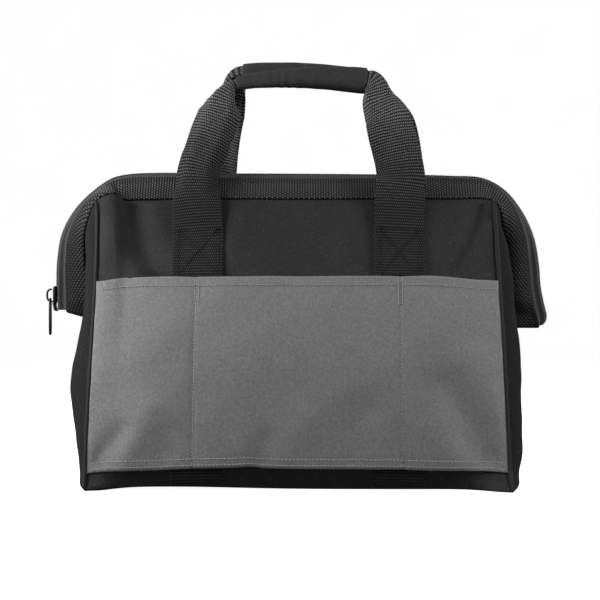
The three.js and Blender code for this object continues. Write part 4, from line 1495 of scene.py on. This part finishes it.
@dataclass(frozen=True)
class Band:
    """The webbing band round the mouth, sewn over the tops of the walls and folded at the ears' tips."""

    mouth: Mouth
    thick: float = 2
    rib: float = 2.2  # The distance between its ribs.
    rib_height: float = 0.12
    steps: int = 4  # Rows for each rib.
    ear_bows: tuple[float, float] = (3, 4.5)  # How far its middle stands out at the left and right ears.
    # The distance from the middle of the bag where an ear starts, and its fade.
    ear_at: tuple[float, float] = (165, 15)
    tip_at: tuple[float, float] = (134, 16)  # The height of an ear's tip, where its bow ends, and its fade.
    # Creases across it on the front, as (x at its top, x at its foot, half width, depth).
    puckers: tuple[tuple[float, float, float, float], ...] = (
        (-158, -150, 3.6, 3.4),
        (-172, -164, 7, -1),
        (160, 163, 3.2, 1.8),
    )

    def build(self) -> None:
        """Makes the band.

        Even rows round the loop of its two edges, each straight from edge to edge and bowed at the ears.
        Both faces stand half the thickness off it, with ribs, and the front face is creased. The weave is
        drawn together where the band turns flat, so that its crowns keep their size as seen from the
        front, and is turned over from left to right.
        """
        outer, inner = self.mouth.loop(900, 70)
        outer, inner = np.vstack([outer, outer[:1]]), np.vstack([inner, inner[:1]])
        total = lengths_along((outer + inner) / 2)[-1]
        rows = self.steps * round(total / self.rib)
        shares, lengths = resampled((outer + inner) / 2, total / rows)
        a, b, lengths = between(outer, shares)[:-1], between(inner, shares)[:-1], lengths[:-1]
        middle, across = (a + b) / 2, b - a
        along = np.roll(middle, -1, axis=0) - np.roll(middle, 1, axis=0)
        normal = unit(np.cross(across, along))
        front = np.argmin(np.abs(middle[:, 0]) + middle[:, 1])
        normal = normal * -np.sign(normal[front, 1])
        half = self.mouth.band_width / 2
        w = np.concatenate([[-1, -0.97, -0.9], np.linspace(-0.8, 0.8, 9), [0.9, 0.97, 1]])
        taper = edge_taper(w * half, half)
        ribs = ribbed(lengths, self.rib, self.rib_height)[:, None] * (taper > 0.7)
        centre = middle[:, None] + across[:, None] * (w / 2)[:, None]
        x, z = middle[:, :1], middle[:, 2:]
        bow = np.where(x < 0, *self.ear_bows) * smooth((np.abs(x) - self.ear_at[0]) / self.ear_at[1])
        bow = bow * smooth((z - self.tip_at[0]) / self.tip_at[1])
        centre = centre + normal[:, None] * (bow * (1 - w**2) - self.creases(centre, w))[..., None]
        reach = (taper * self.thick / 2 + ribs)[..., None] * normal[:, None]
        points = np.concatenate([centre + reach, (centre - reach)[:, ::-1]], axis=1)
        places = np.concatenate([w, w[::-1]])
        shown = np.linalg.norm(across[:, ::2], axis=1)[:, None] / 2
        along = lengths[:, None] * (self.rib * rows / self.steps / total)
        weave = vector(places * shown * np.where(middle[:, :1] < 0, -1, 1), along, places)
        patch = Patch.grid(points, weave, wrap_rows=True, wrap_columns=True).facing(
            np.repeat(np.stack([normal, -normal], axis=1), len(w), axis=1).reshape(-1, 3))
        piece = make_piece("mouth_webbing", patch, BAND_WEBBING, "webbing")
        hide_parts("mouth_band")

    def creases(self, points: Array, w: Array) -> Array:
        """How far the band's front is pressed in: a bell across each crease, deepest near the seam.

        Args:
            points: Points of the band.
            w: Their places across it, from -1 to 1.

        Returns:
            Depths with the shape of the points.
        """
        x, y = points[..., 0], points[..., 1]
        deep = np.zeros(x.shape)
        for top, foot, half, depth in self.puckers:
            line = mix(top, foot, (w + 1) / 2)
            share = smooth((w + 1.3) / 1.6) * (1 - 0.75 * smooth((w - 0.5) / 0.5))
            deep = deep + depth * hump(x - line, half) * share
        return deep * (y < 0)


class LegRow(NamedTuple):
    """A row of a handle's free leg."""

    x: float
    out: float  # Its distance from the bag's middle.
    drop: float  # How far it lies below the sleeve's end.
    fold: float  # How far the strap's edges are turned back there, in degrees.


FRONT_LEGS = tuple(tuple(LegRow(*row) for row in leg) for leg in (
    ((-48, 6.9, 0, 172), (-55, 7.4, 0.8, 165), (-58.5, 9, 3, 130), (-62, 10.6, 8, 100),
     (-65.3, 12, 15, 72), (-68.3, 14, 26, 42), (-74, 17.5, 41.5, 40), (-80, 22, 59.5, 44),
     (-83.6, 25.5, 69.5, 46), (-85.4, 28.2, 78, 44), (-86, 31.5, 88.5, 40), (-85.9, 34.5, 98, 22)),
    ((50, 6.9, 0, 172), (56.5, 7.6, 0, 165), (60.5, 9, 1, 122), (64, 10.6, 5.5, 90),
     (67.8, 12.2, 17.5, 62), (71.5, 13.8, 26.5, 42), (74.2, 15.8, 33.5, 30), (77.6, 19, 48.5, 22),
     (80.9, 23, 62.5, 22), (83.2, 27, 74, 20), (84.2, 30.5, 86, 14), (83.2, 34, 98, 6)),
))
BACK_LEGS = tuple(tuple(LegRow(*row) for row in leg) for leg in (
    ((-43, 6.9, 0, 172), (-51, 7.4, 0.3, 165), (-55, 9.5, 4, 120), (-58, 11.5, 14, 80),
     (-63.5, 13, 29, 50), (-68.5, 17, 46, 42), (-72, 21.5, 63, 36), (-74.8, 26.5, 81, 26),
     (-76.8, 31, 95, 12), (-77.4, 34, 103, 4)),
    ((52, 6.9, 0, 172), (58.5, 7.8, 0.6, 165), (64.5, 10.2, 5, 118), (70, 12.5, 18, 70),
     (76, 14.5, 28, 50), (81, 17, 37, 36), (84.5, 20, 51, 30), (86.8, 24, 66, 24),
     (88, 28.5, 82, 14), (88.4, 33, 98, 6)),
))


class HandleFrame(NamedTuple):
    """A handle at places along it: points, the directions across and out of it, its fold and flat half."""

    at: Array
    wide: Array
    face: Array
    fold: Array
    web: Array


@dataclass(frozen=True)
class Handle:
    """A webbing handle with a cloth sleeve: up a wall, over through the sleeve and down the wall again."""

    wall: WallForm
    side: Side
    heights: tuple[float, float, float]  # The sleeve's height at its left end, middle and right end.
    # The rows of its left and right legs, from inside the sleeve's end down to the wall.
    legs: tuple[tuple[LegRow, ...], tuple[LegRow, ...]]
    # The x of its two legs on the wall, at the base and at the band.
    feet: tuple[tuple[float, float], tuple[float, float]]
    webs: tuple[float, float]  # The flat half of the folded strap at the sleeve's left and right ends.
    sleeve: tuple[float, float]  # The x of the sleeve's ends.
    # Half the sleeve's height at its left end, middle and right end.
    sleeve_halves: tuple[float, float, float]
    seed: int  # The seed of the sleeve's waves.
    width: float = 41.3
    thick: float = 2
    web: float = 9.2  # How far from its middle the strap stays flat where its edges are turned back.
    seat: float = 0.6  # Its distance above the wall.
    # The heights on the wall that it runs through, as shares.
    on_wall: tuple[float, ...] = (0, 0.025, 0.06, 0.12, 0.2, 0.38, 0.54, 0.67, 0.77, 0.86)
    rib: float = 2.53  # The distance between ribs.
    rib_height: float = 0.28
    steps: int = 4  # Rows for each rib.
    sleeve_deep: float = 4.8  # Half the sleeve's depth.
    sleeve_wall: float = 1.2
    setback: float = 1.3  # How far the sleeve's middle lies behind the strap's.
    box_top: float = 208  # The height of the sewn box's top on the wall.
    box: tuple[float, float] = (16.5, 39)  # The sewn box's half width and length.

    @cached_property
    def rows(self) -> tuple[Array, Array, Array]:
        """The rows along the handle, from the left foot to the right one.

        Returns:
            Their points, folds in radians and flat halves.
        """
        v = np.array(self.on_wall)
        lifted = self.wall.facing(self.side, v) * (self.seat + self.thick / 2)
        feet, legs, folds, webs = [], [], [], []
        for k, height in ((0, self.heights[0]), (1, self.heights[2])):
            x, out, drop, fold = np.array(self.legs[k]).T
            across = self.wall.across_at_x(mix(*self.feet[k], v), v)
            feet.append(self.wall.surface(self.side, across, v) + lifted)
            legs.append(vector(x, self.side * out, height - drop))
            folds.append(np.radians(fold))
            webs.append(mix(self.web, self.webs[k], smooth((fold - 60) / 90)))
        grip = np.array([(sum(self.sleeve) / 2, legs[0][0, 1], self.heights[1])])
        points = np.vstack([feet[0], legs[0][::-1], grip, legs[1], feet[1][::-1]])
        flat, web = np.zeros(len(v)), np.full(len(v), self.web)
        fold = np.concatenate([flat, folds[0][::-1], folds[0][:1], folds[1], flat])
        return points, fold, np.concatenate([web, webs[0][::-1], [sum(self.webs) / 2], webs[1], web])

    @cached_property
    def line(self) -> SmoothLine:
        """The strap's middle line."""
        return SmoothLine(self.rows[0])

    def at(self, t: Array) -> HandleFrame:
        """The handle's frame: across is level with the wall, and the face points away from the bag.

        Args:
            t: Places along it, from 0 to 1.

        Returns:
            The frame there.
        """
        _, fold, web = self.rows
        along = self.line.tangent(t)
        wide = unit(np.cross(along, (0, -1, 0)))
        face = unit(np.cross(wide, along)) * -self.side
        place, count = t * (len(fold) - 1), np.arange(len(fold))
        return HandleFrame(self.line.at(t), wide, face, np.interp(place, count, fold),
                           np.interp(place, count, web))

    @cached_property
    def dense(self) -> tuple[Array, Array]:
        """Dense places along the handle and the points there."""
        t = np.linspace(0, 1, 5000)
        return t, self.line.at(t)

    def strap(self) -> Patch:
        """The strap.

        Its section runs from the middle out to each edge, and turns back by the fold just past the flat
        half: across is the running sum of the turn's cosine, and behind that of its sine. Both faces
        stand half the thickness off it and have ribs.

        Returns:
            The strap's patch.
        """
        shares, lengths = resampled(self.dense[1], self.rib / self.steps)
        at = self.at(shares)
        half = self.width / 2
        w = np.concatenate([np.linspace(0, half - 2, 9), [half - 1.1, half - 0.4, half]])
        fold, web = at.fold[:, None], at.web[:, None]
        folded = smooth((fold - 1.4) / 1.0)
        squeeze = mix(1, np.minimum(1, 0.95 * web / (half - web)), folded)
        run = np.minimum(w, web) + np.maximum(w - web, 0) * squeeze
        turn = fold * smooth((run - web + 1.4) / 2.8)
        steps = np.diff(run, axis=1)
        middle_turn = (turn[:, 1:] + turn[:, :-1]) / 2
        start = np.zeros((len(shares), 1))
        aside = np.hstack([start, np.cumsum(np.cos(middle_turn) * steps, axis=1)])
        behind = np.hstack([start, np.cumsum(np.sin(middle_turn) * steps, axis=1)])
        aside, behind = self.mirrored(aside, -1), self.mirrored(behind, 1)
        turn = self.mirrored(turn, -1)
        places = np.concatenate([-w[:0:-1], w])
        taper = edge_taper(places, half)
        reach = taper * self.thick / 2 + ribbed(lengths, self.rib, self.rib_height)[:, None] * (taper > 0.7)
        rings = []
        for way in (1, -1):
            across = aside + way * np.sin(turn) * reach
            back = behind - way * np.cos(turn) * reach
            aside_by, back_by = at.wide[:, None] * across[..., None], at.face[:, None] * back[..., None]
            rings.append(at.at[:, None] + aside_by - back_by)
        points = np.concatenate([rings[0], rings[1][:, ::-1]], axis=1)
        weave = vector(np.concatenate([places, places[::-1]]), lengths[:, None], 0)
        outside = np.concatenate([np.repeat(at.face[:, None], len(places), axis=1)] * 2, axis=1)
        outside[:, len(places):] *= -1
        unfolded = (at.fold < 0.3)[:, None, None]
        patch = Patch.grid(points, weave, wrap_columns=True, capped=True)
        return patch.facing((outside * unfolded).reshape(-1, 3))

    @staticmethod
    def mirrored(half: Array, sign: int) -> Array:
        """Both halves of a section from its right half, with the left one's sign changed or kept."""
        return np.hstack([sign * half[:, :0:-1], half])

    def sleeve_patch(self) -> Patch:
        """The sleeve: a rounded oblong carried along a shallow bow, with slanting creases on its face.

        Returns:
            The sleeve's patch.
        """
        f = np.linspace(0, 1, 120)
        left, middle, right = self.heights
        bow = 4 * f * (1 - f) * (middle - (left + right) / 2)
        line = vector(mix(*self.sleeve, f), self.side * self.legs[0][0].out, mix(left, right, f) + bow)
        along = unit(np.gradient(line, axis=0))
        up, away = np.cross(along, (0, -1, 0)), np.array((0, self.side, 0))
        turn = np.arange(56) * TAU / 56
        wide, deep = rounded(turn, 0.62)
        half = np.interp(f, (0, 0.5, 1), self.sleeve_halves)[:, None]
        length = lengths_along(line)[:, None]
        creases = np.sin(length * 0.62 + turn * 1.3 + np.sin(length * 0.17) * 2) * 0.22
        creases = creases * hump(f - 0.42, 0.2)[:, None] * smooth(0.5 - np.sin(turn))
        ends_in = 0.5 * (np.exp(-f / 0.02) + np.exp(-(1 - f) / 0.02))[:, None]
        puff = creases - ends_in + ripples(length, turn * 9, self.seed, size=30, height=0.12)
        across = wide * (half + puff)
        behind = deep * (self.sleeve_deep + puff) + self.setback
        ring = line[:, None] + up[:, None] * across[..., None] - away * behind[..., None]
        weave = vector(np.broadcast_to(turn * 9, across.shape), np.broadcast_to(length, across.shape), 0)
        outside = ring - ring.mean(axis=1)[:, None]
        return Patch.grid(ring, weave, wrap_columns=True).facing(outside.reshape(-1, 3))

    def sewn_box(self, end: End) -> Patch:
        """The stitches that hold a leg to the wall: a box round it and a cross inside.

        Args:
            end: The leg's end of the bag.

        Returns:
            The stitches, as one patch.
        """
        t, points = self.dense
        leg = (t < 0.5) if end is End.LEFT else (t > 0.5)
        order = np.argsort(points[leg, 2])
        heights, places = points[leg, 2][order], t[leg][order]
        wide, long = self.box
        low, high = self.box_top - long, self.box_top
        corners = {"a": (-wide, high), "b": (wide, high), "c": (wide, low), "d": (-wide, low)}
        rows = []
        for first, last in ("ab", "bc", "cd", "da", "ac", "bd"):
            share = np.linspace(0, 1, 120)
            w = mix(corners[first][0], corners[last][0], share)
            at = self.at(np.interp(mix(corners[first][1], corners[last][1], share), heights, places))
            line = at.at + at.wide * w[:, None] + at.face * (self.thick / 2 + 0.12)
            rows.append(Stitches(pitch=3, length=2.5, radius=0.45).run(line, at.face))
        return Patch.joined(rows)

    def build(self) -> None:
        name = self.side.name.lower()
        strap = make_piece(f"handle_strap_{name}", self.strap(), STRAP_WEBBING, "webbing")
        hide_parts(f"strap_{name}")
        boxes = Patch.joined([self.sewn_box(end) for end in End])
        stitches = make_piece(f"handle_stitches_{name}", boxes, BLACK_THREAD, "webbing")
        sleeve = make_piece(f"handle_sleeve_{name}", self.sleeve_patch(), SLEEVE_CLOTH, "sleeve_cloth")
        thicken(sleeve, self.sleeve_wall)
        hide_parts(f"sleeve_{name}")
        length = lengths_along(self.dense[1])[-1]


@dataclass(frozen=True)
class Zip:
    """The zip: two tapes, the coil's teeth, the slider and its pull."""

    mouth: Mouth
    coil_width: float = 5
    coil_thick: float = 2.4
    tooth_pitch: float = 1.7
    tip_round: float = 9  # The radius of the tapes' rounded end at the right tip.
    tape_thick: float = 0.8
    tape_cut: float = 13.5  # The flat width of one tape.
    tape_tuck: tuple[float, float] = (3.5, 1.6)  # How far a tape goes on behind the band, and how deep.
    coil_start: float = 0.0285  # Where the coil starts on the zip's line.
    tail: int = 4  # The number of slanting teeth of the coil's end, below the slider.
    slider_height: float = 153  # The height of the slider's middle.
    # The slider's outer plate: half its width, half its height, its inner and outer face.
    plate: tuple[float, float, float, float] = (5, 8, -1, -3.4)
    # The plate behind the coil, in the same order.
    inner_plate: tuple[float, float, float, float] = (1.8, 6, 1.7, 3.3)
    post: tuple[float, float, float, float] = (1.2, 2, -2.2, 2.2)  # The post between them, likewise.
    post_drop: float = 4  # How far the post lies below the slider's middle.
    # The bail's middle line: its reach from the zip's line, its half height and its corner.
    bail: tuple[float, float, float] = (-8.9, 5.2, 3.6)
    bail_half: tuple[float, float] = (1.6, 0.8)  # Half the bail's width and thickness.
    bail_gap: float = 2.2  # How far its open end stops from the plate.
    hinge: tuple[float, float] = (-6.25, -2.95)  # The pull's hinge, from the slider's middle.
    pull: tuple[float, float, float] = (4, 31, 0.7)  # The pull's half width, length and half thickness.
    # The half width and the ends of the pull's eye, below the hinge.
    eye: tuple[float, float, float] = (2.4, -0.9, -6.6)

    @property
    def length(self) -> float:
        """The length of the zip's line."""
        return lengths_along(self.mouth.line.at(np.linspace(0, 1, 2000)))[-1]

    def edge(self, t: Array) -> Array:
        """The coil's line: the zip's line, with a quarter circle at the right tip.

        Args:
            t: Places along it, from 0 to 1.

        Returns:
            The points.
        """
        dense = np.linspace(0, 1, 4000)
        lengths = lengths_along(self.mouth.line.at(dense))
        left = np.interp(t, dense, lengths[-1] - lengths)
        past = np.clip(1 - left / self.tip_round, 0, 0.97)
        drawn = (self.tip_round - 1.5) * (1 - np.sqrt(1 - past**2))
        return self.mouth.line.at(t) - self.mouth.outward(t) * drawn[..., None]

    def tape(self, side: Side) -> Patch:
        """One tape: from under the coil, past a raised edge beside it, down to the band and in behind it.

        Args:
            side: The side of the bag.

        Returns:
            The tape's patch.
        """
        t = np.linspace(0, 1, 520)
        at, out = self.edge(t), self.mouth.outward(t)
        outer, inner = self.mouth.edges(t, side)
        down = unit(inner - outer)
        inward = unit(np.cross(self.mouth.line.tangent(t), down)) * -side
        aside = np.array((0.0, side, 0.0))
        edge = self.coil_width / 2
        stations = np.stack([
            at - out * 1.4 + aside * 0.15,
            at - out * 1.4 + aside * (edge - 0.2),
            at - out * 0.5 + aside * (edge + 0.5),
            at - out * 0.6 + aside * (edge + 1.3) + (outer - at) * 0.1,
            mix(at, outer, 0.7) - aside * 0.1,
            outer + inward * 0.5,
            outer + down * self.tape_tuck[0] + inward * self.tape_tuck[1],
        ], axis=1)
        columns = np.linspace(0, 1, 19)
        place = columns * (stations.shape[1] - 1)
        low = np.minimum(place.astype(int), stations.shape[1] - 2)
        points = mix(stations[:, low], stations[:, low + 1], (place - low)[:, None])
        return Patch.grid(points).facing(np.repeat(out + aside, len(columns), axis=0))

    def tooth(self) -> Patch:
        """A tooth of the closed coil: an oval bar along y, rounded at both edges of the coil.

        Returns:
            The tooth, about the origin.
        """
        y = np.array((-0.5, -0.46, -0.3, 0.3, 0.46, 0.5)) * self.coil_width
        scale = np.array((0.5, 0.85, 1, 1, 0.85, 0.5))[:, None]
        turn = (np.arange(8) + 0.5) * TAU / 8
        x = scale * np.cos(turn) * self.tooth_pitch * 0.3
        z = scale * np.sin(turn) * self.coil_thick / 2
        return Patch.closed(vector(x, y[:, None], z))

    def teeth(self) -> Patch:
        """All the teeth: even steps along the coil's line, over a core, and the slanting end.

        Returns:
            The teeth, as one patch.
        """
        t = np.linspace(self.coil_start, 1, 6000)
        line = self.edge(t)
        shares, _ = resampled(line, self.tooth_pitch)
        places = between(line, shares)
        along = between(unit(np.gradient(line, axis=0)), shares)
        aside = np.array((0.0, 1.0, 0.0))
        out = unit(np.cross(along, aside))
        out = out * np.sign((out * self.mouth.outward(mix(self.coil_start, 1, shares))).sum(axis=1))[:, None]
        axes = np.stack([np.cross(aside, out), np.broadcast_to(aside, out.shape), out], axis=1)
        core = tube(line[::12] - self.mouth.outward(t[::12]) * 0.1, self.coil_thick * 0.42, 8)
        drop = np.arange(self.tail)[:, None] * self.tooth_pitch * 0.95
        foot = np.array((self.mouth.rows[0].x - 2.6, 0, self.slider_height - self.plate[1] + 0.4))
        lean = np.array((0.5, 0, 0.866)), np.array((-0.866, 0, 0.5))
        slanted = np.broadcast_to(np.stack([lean[0], aside, lean[1]]), (self.tail, 3, 3)) * 1.6
        ends = self.tooth().repeated(foot + drop * np.array((0.2, 0, -1)), slanted)
        return Patch.joined([
            self.tooth().repeated(places, axes),
            Patch.closed(core),
            ends,
        ])

    def slab(self, sizes: tuple[float, float, float, float]) -> Patch:
        """A plate of the slider: rounded oblongs in y and z, eased in at both faces.

        Args:
            sizes: Half its width, half its height, its inner and its outer face.

        Returns:
            The plate's patch.
        """
        wide, tall, near, far = sizes
        y, z = rounded((np.arange(40) + 0.5) * TAU / 40, 0.5)
        waist = 1 - 0.22 * smooth(-z) - 0.05 * hump(z, 0.4)
        x = np.array((near, mix(near, far, 0.15), mix(near, far, 0.7), far))[:, None]
        ease = np.array((0.93, 1, 1, 0.86))[:, None]
        return Patch.closed(vector(x, y * waist * wide * ease, z * tall * ease))

    def bow(self) -> Patch:
        """The bail: a flat oval wire from the plate's foot, up and back to just short of the plate's head.

        Returns:
            The bail's patch.
        """
        reach, half, corner = self.bail
        root = self.plate[3] + 0.5
        bend = np.linspace(0, math.pi / 2, 8)
        x = reach + corner * (1 - np.sin(bend))
        z = half - corner * (1 - np.cos(bend))
        x = np.concatenate([[root - self.bail_gap], x, x[::-1], [root]])
        z = np.concatenate([[half], z, -z[::-1], [-half]])
        line = vector(x, 0, z)
        along = unit(np.gradient(line, axis=0))
        aside = np.array((0.0, 1.0, 0.0))
        beside = np.cross(along, aside)
        y, d = rounded((np.arange(12) + 0.5) * TAU / 12, 0.7)
        ring = aside * (y * self.bail_half[0])[:, None] + beside[:, None] * (d * self.bail_half[1])[:, None]
        return Patch.grid(line[:, None] + ring, wrap_columns=True, capped=True).facing(
            (ring + np.zeros((len(line), 1, 1))).reshape(-1, 3))

    def slider(self) -> Patch:
        """The slider: its two plates, the post between them and the bail.

        Returns:
            The slider's patch.
        """
        post = self.slab(self.post)
        post.points[:, 2] -= self.post_drop
        parts = Patch.joined([self.slab(self.plate), self.slab(self.inner_plate), post, self.bow()])
        parts.points = parts.points + np.array((self.mouth.rows[0].x, 0, self.slider_height))
        return parts

    def tab(self) -> Patch:
        """The pull: faces between a rounded outline and its eye, with eased edges all round.

        Returns:
            The pull's patch.
        """
        half, length, thick = self.pull
        eye_half, eye_top, eye_foot = self.eye
        turn = (np.arange(48) + 0.5) * TAU / 48
        y, z = rounded(turn, 0.42)
        top = -eye_top
        narrow = 1 - 0.16 * smooth((z - 0.2) / 0.8)
        outline = np.stack([y * half * narrow, mix(-length, top, (z + 1) / 2)], axis=-1)
        opening = np.stack([y * eye_half, mix(eye_foot, eye_top, (z + 1) / 2)], axis=-1)
        ease = 0.3
        inner_edge = outline - np.sign(outline - outline.mean(axis=0)) * ease
        outer_eye = opening + np.sign(opening - opening.mean(axis=0)) * ease
        rings = [(outline, thick - ease), (inner_edge, thick), (outer_eye, thick), (opening, thick - ease),
                 (opening, ease - thick), (outer_eye, -thick), (inner_edge, -thick), (outline, ease - thick)]
        points = np.stack([vector(x, ring[:, 0], ring[:, 1]) for ring, x in rings])
        outside = np.zeros_like(points)
        outside[1:3, :, 0], outside[5:7, :, 0] = 1, -1
        patch = Patch.grid(points, wrap_rows=True, wrap_columns=True).facing(outside.reshape(-1, 3))
        place = (self.mouth.rows[0].x + self.hinge[0], 0, self.slider_height + self.hinge[1])
        patch.points = patch.points + np.array(place)
        return patch

    def build(self) -> None:
        """Makes the zip's pieces. The pull moves with its own body."""
        for side in Side:
            name = side.name.lower()
            tape = make_piece(f"zip_cloth_{name}", self.tape(side), TAPE_CLOTH, "zip_tape")
            thicken(tape, self.tape_thick)
            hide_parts(f"zip_tape_{name}")
            flat = (self.tape_cut * MM, self.length * MM)
        teeth = make_piece("zip_teeth", self.teeth(), COIL_NYLON, "zip_coil")
        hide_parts("zip_coil")
        slider = make_piece("zip_runner", self.slider(), BLACK_METAL, "black_metal")
        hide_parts("zip_slider")
        tab = make_piece("zip_tab", self.tab(), BLACK_METAL, "black_metal", body="pull")
        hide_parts("zip_pull")


@dataclass(frozen=True)
class Softbox:
    """A soft studio light, in metres."""

    name: str
    place: tuple[float, float, float]
    aim: tuple[float, float, float]  # What it points at.
    size: tuple[float, float]
    watts: float
    spread: float = 180  # The angle of its beam in degrees.

    def build(self) -> None:
        """Hangs the light and points it."""
        data = bpy.data.lights.new(self.name, "AREA")
        data.shape = "RECTANGLE"
        data.size, data.size_y = self.size
        data.energy = self.watts
        data.spread = math.radians(self.spread)
        light = bpy.data.objects.new(self.name, data)
        light.visible_camera = False
        light.location = self.place
        light.rotation_euler = (Vector(self.aim) - Vector(self.place)).to_track_quat("-Z", "Y").to_euler()
        bpy.context.scene.collection.objects.link(light)


@dataclass(frozen=True)
class Studio:
    """The floor and backdrop, lights and camera, in metres."""

    # Where the camera stands. It looks level along +Y.
    camera_place: tuple[float, float, float] = (0, -1.124, 0.149)
    focal_pixels: float = 1312.8  # Its focal length in pixels of the square image.
    image_pixels: float = 600
    sensor: float = 36  # The camera's sensor width in millimetres.
    # The radius of the floor with the backdrop all round it, the radius of its bend and its height.
    bowl: tuple[float, float, float] = (4, 1.2, 1.6)
    glow: float = 0.06  # The strength of the even light from all round.
    lights: tuple[Softbox, ...] = (
        Softbox("left_light", (-0.56, -0.22, 0.4), (-0.12, -0.07, 0.17), (0.3, 0.45), 5.1),
        Softbox("right_light", (0.58, -0.22, 0.4), (0.12, -0.07, 0.15), (0.3, 0.45), 2.9),
        Softbox("top_light", (0, -0.4, 0.88), (0, -0.02, 0.15), (0.7, 0.35), 0.9),
        Softbox("low_light", (0, -0.45, 0.015), (0, -0.09, 0.012), (0.7, 0.02), 0.07, spread=60),
        Softbox("back_left_light", (-0.25, 0.9, 0.6), (-0.05, 0.06, 0.16), (0.35, 0.5), 3),
        Softbox("back_right_light", (0.25, 0.9, 0.6), (0.05, 0.06, 0.16), (0.35, 0.5), 3),
    )

    def build(self) -> None:
        """Sets up the floor, the lights, the even light and the camera."""
        self.paper()
        for light in self.lights:
            light.build()
        world = bpy.data.worlds.new("studio_glow")
        world.use_nodes = True
        world.node_tree.nodes["Background"].inputs["Strength"].default_value = self.glow
        world.node_tree.nodes["Background"].inputs["Color"].default_value = (1, 1, 1, 1)
        scene = bpy.context.scene
        scene.world = world
        scene.view_settings.view_transform = "Standard"
        data = bpy.data.cameras.new("camera")
        data.sensor_width = self.sensor
        data.lens = self.focal_pixels / self.image_pixels * self.sensor
        camera = bpy.data.objects.new("camera", data)
        camera.location = self.camera_place
        camera.rotation_euler = (math.pi / 2, 0, 0)
        scene.collection.objects.link(camera)
        scene.camera = camera

    def paper(self) -> None:
        """The floor and backdrop: a square sheet drawn round.

        It is flat and then bent up through a quarter circle to a round wall. Each square ring of the sheet
        goes to the circle at its share of that profile.
        """
        reach, radius, height = (size / MM for size in self.bowl)
        bend = np.linspace(0, math.pi / 2, 16)
        far = np.concatenate([[0], reach - radius + radius * np.sin(bend), [reach]])
        z = np.concatenate([[0], radius * (1 - np.cos(bend)), [height]])
        run = lengths_along(vector(far, 0, z))
        x, y = np.meshgrid(*[np.linspace(-1, 1, 80)] * 2)
        ring = np.maximum(np.abs(x), np.abs(y)) * run[-1]
        out = np.interp(ring, run, far) / np.hypot(x, y)
        points = vector(x * out, y * out, np.interp(ring, run, z))
        patch = Patch.grid(points).facing(vector(-x, -y, 1).reshape(-1, 3))
        paper = make_piece("studio_floor", patch, STUDIO_PAPER, None)
        paper.visible_diffuse = False
        paper.visible_glossy = False


def main() -> None:
    """Builds the studio and the bag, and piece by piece."""
    logging.basicConfig(level=logging.INFO, format="%(message)s")
    Studio().build()
    mouth = Mouth()
    form = WallForm(mouth)
    Base(form).build()
    Walls(form).build()
    Pocket(form).build()
    Gusset(form, End.LEFT, swell=7, tuck=9, creases=((0.08, 0.03, -2.5),), seed=41, ridge_at=(0.24, 0.38),
           ridge_half=(0.14, 0.2)).build()
    Gusset(form, End.RIGHT, swell=6, tuck=20, creases=((0.1, 0.03, -7), (0.19, 0.05, 3)), seed=51,
           ridge_at=(0.26, 0.5), ridge_half=(0.14, 0.4)).build()
    Piping(form).build()
    Band(mouth).build()
    Zip(mouth).build()
    Handle(form, Side.FRONT, heights=(333.5, 339.1, 336.7), legs=FRONT_LEGS, seed=61, webs=(3.8, 7.8),
           feet=((-81, -85.3), (77.2, 82)), sleeve=(-54, 56.3), sleeve_halves=(5.8, 7.8, 10.1)).build()
    Handle(form, Side.BACK, heights=(341.5, 342, 336.5), legs=BACK_LEGS, seed=71, webs=(8.6, 8.6),
           feet=((-77, -76), (88, 88)), sleeve=(-48.3, 57), sleeve_halves=(10.8, 10.8, 10.6)).build()
    boxes = {"cad": CAD_BOX, "visual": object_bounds()}
    for name, box in boxes.items():
        LOG.info("%s box: %s", name, [[round(x, 4) for x in corner] for corner in box])


if __name__ == "__main__":
    main()
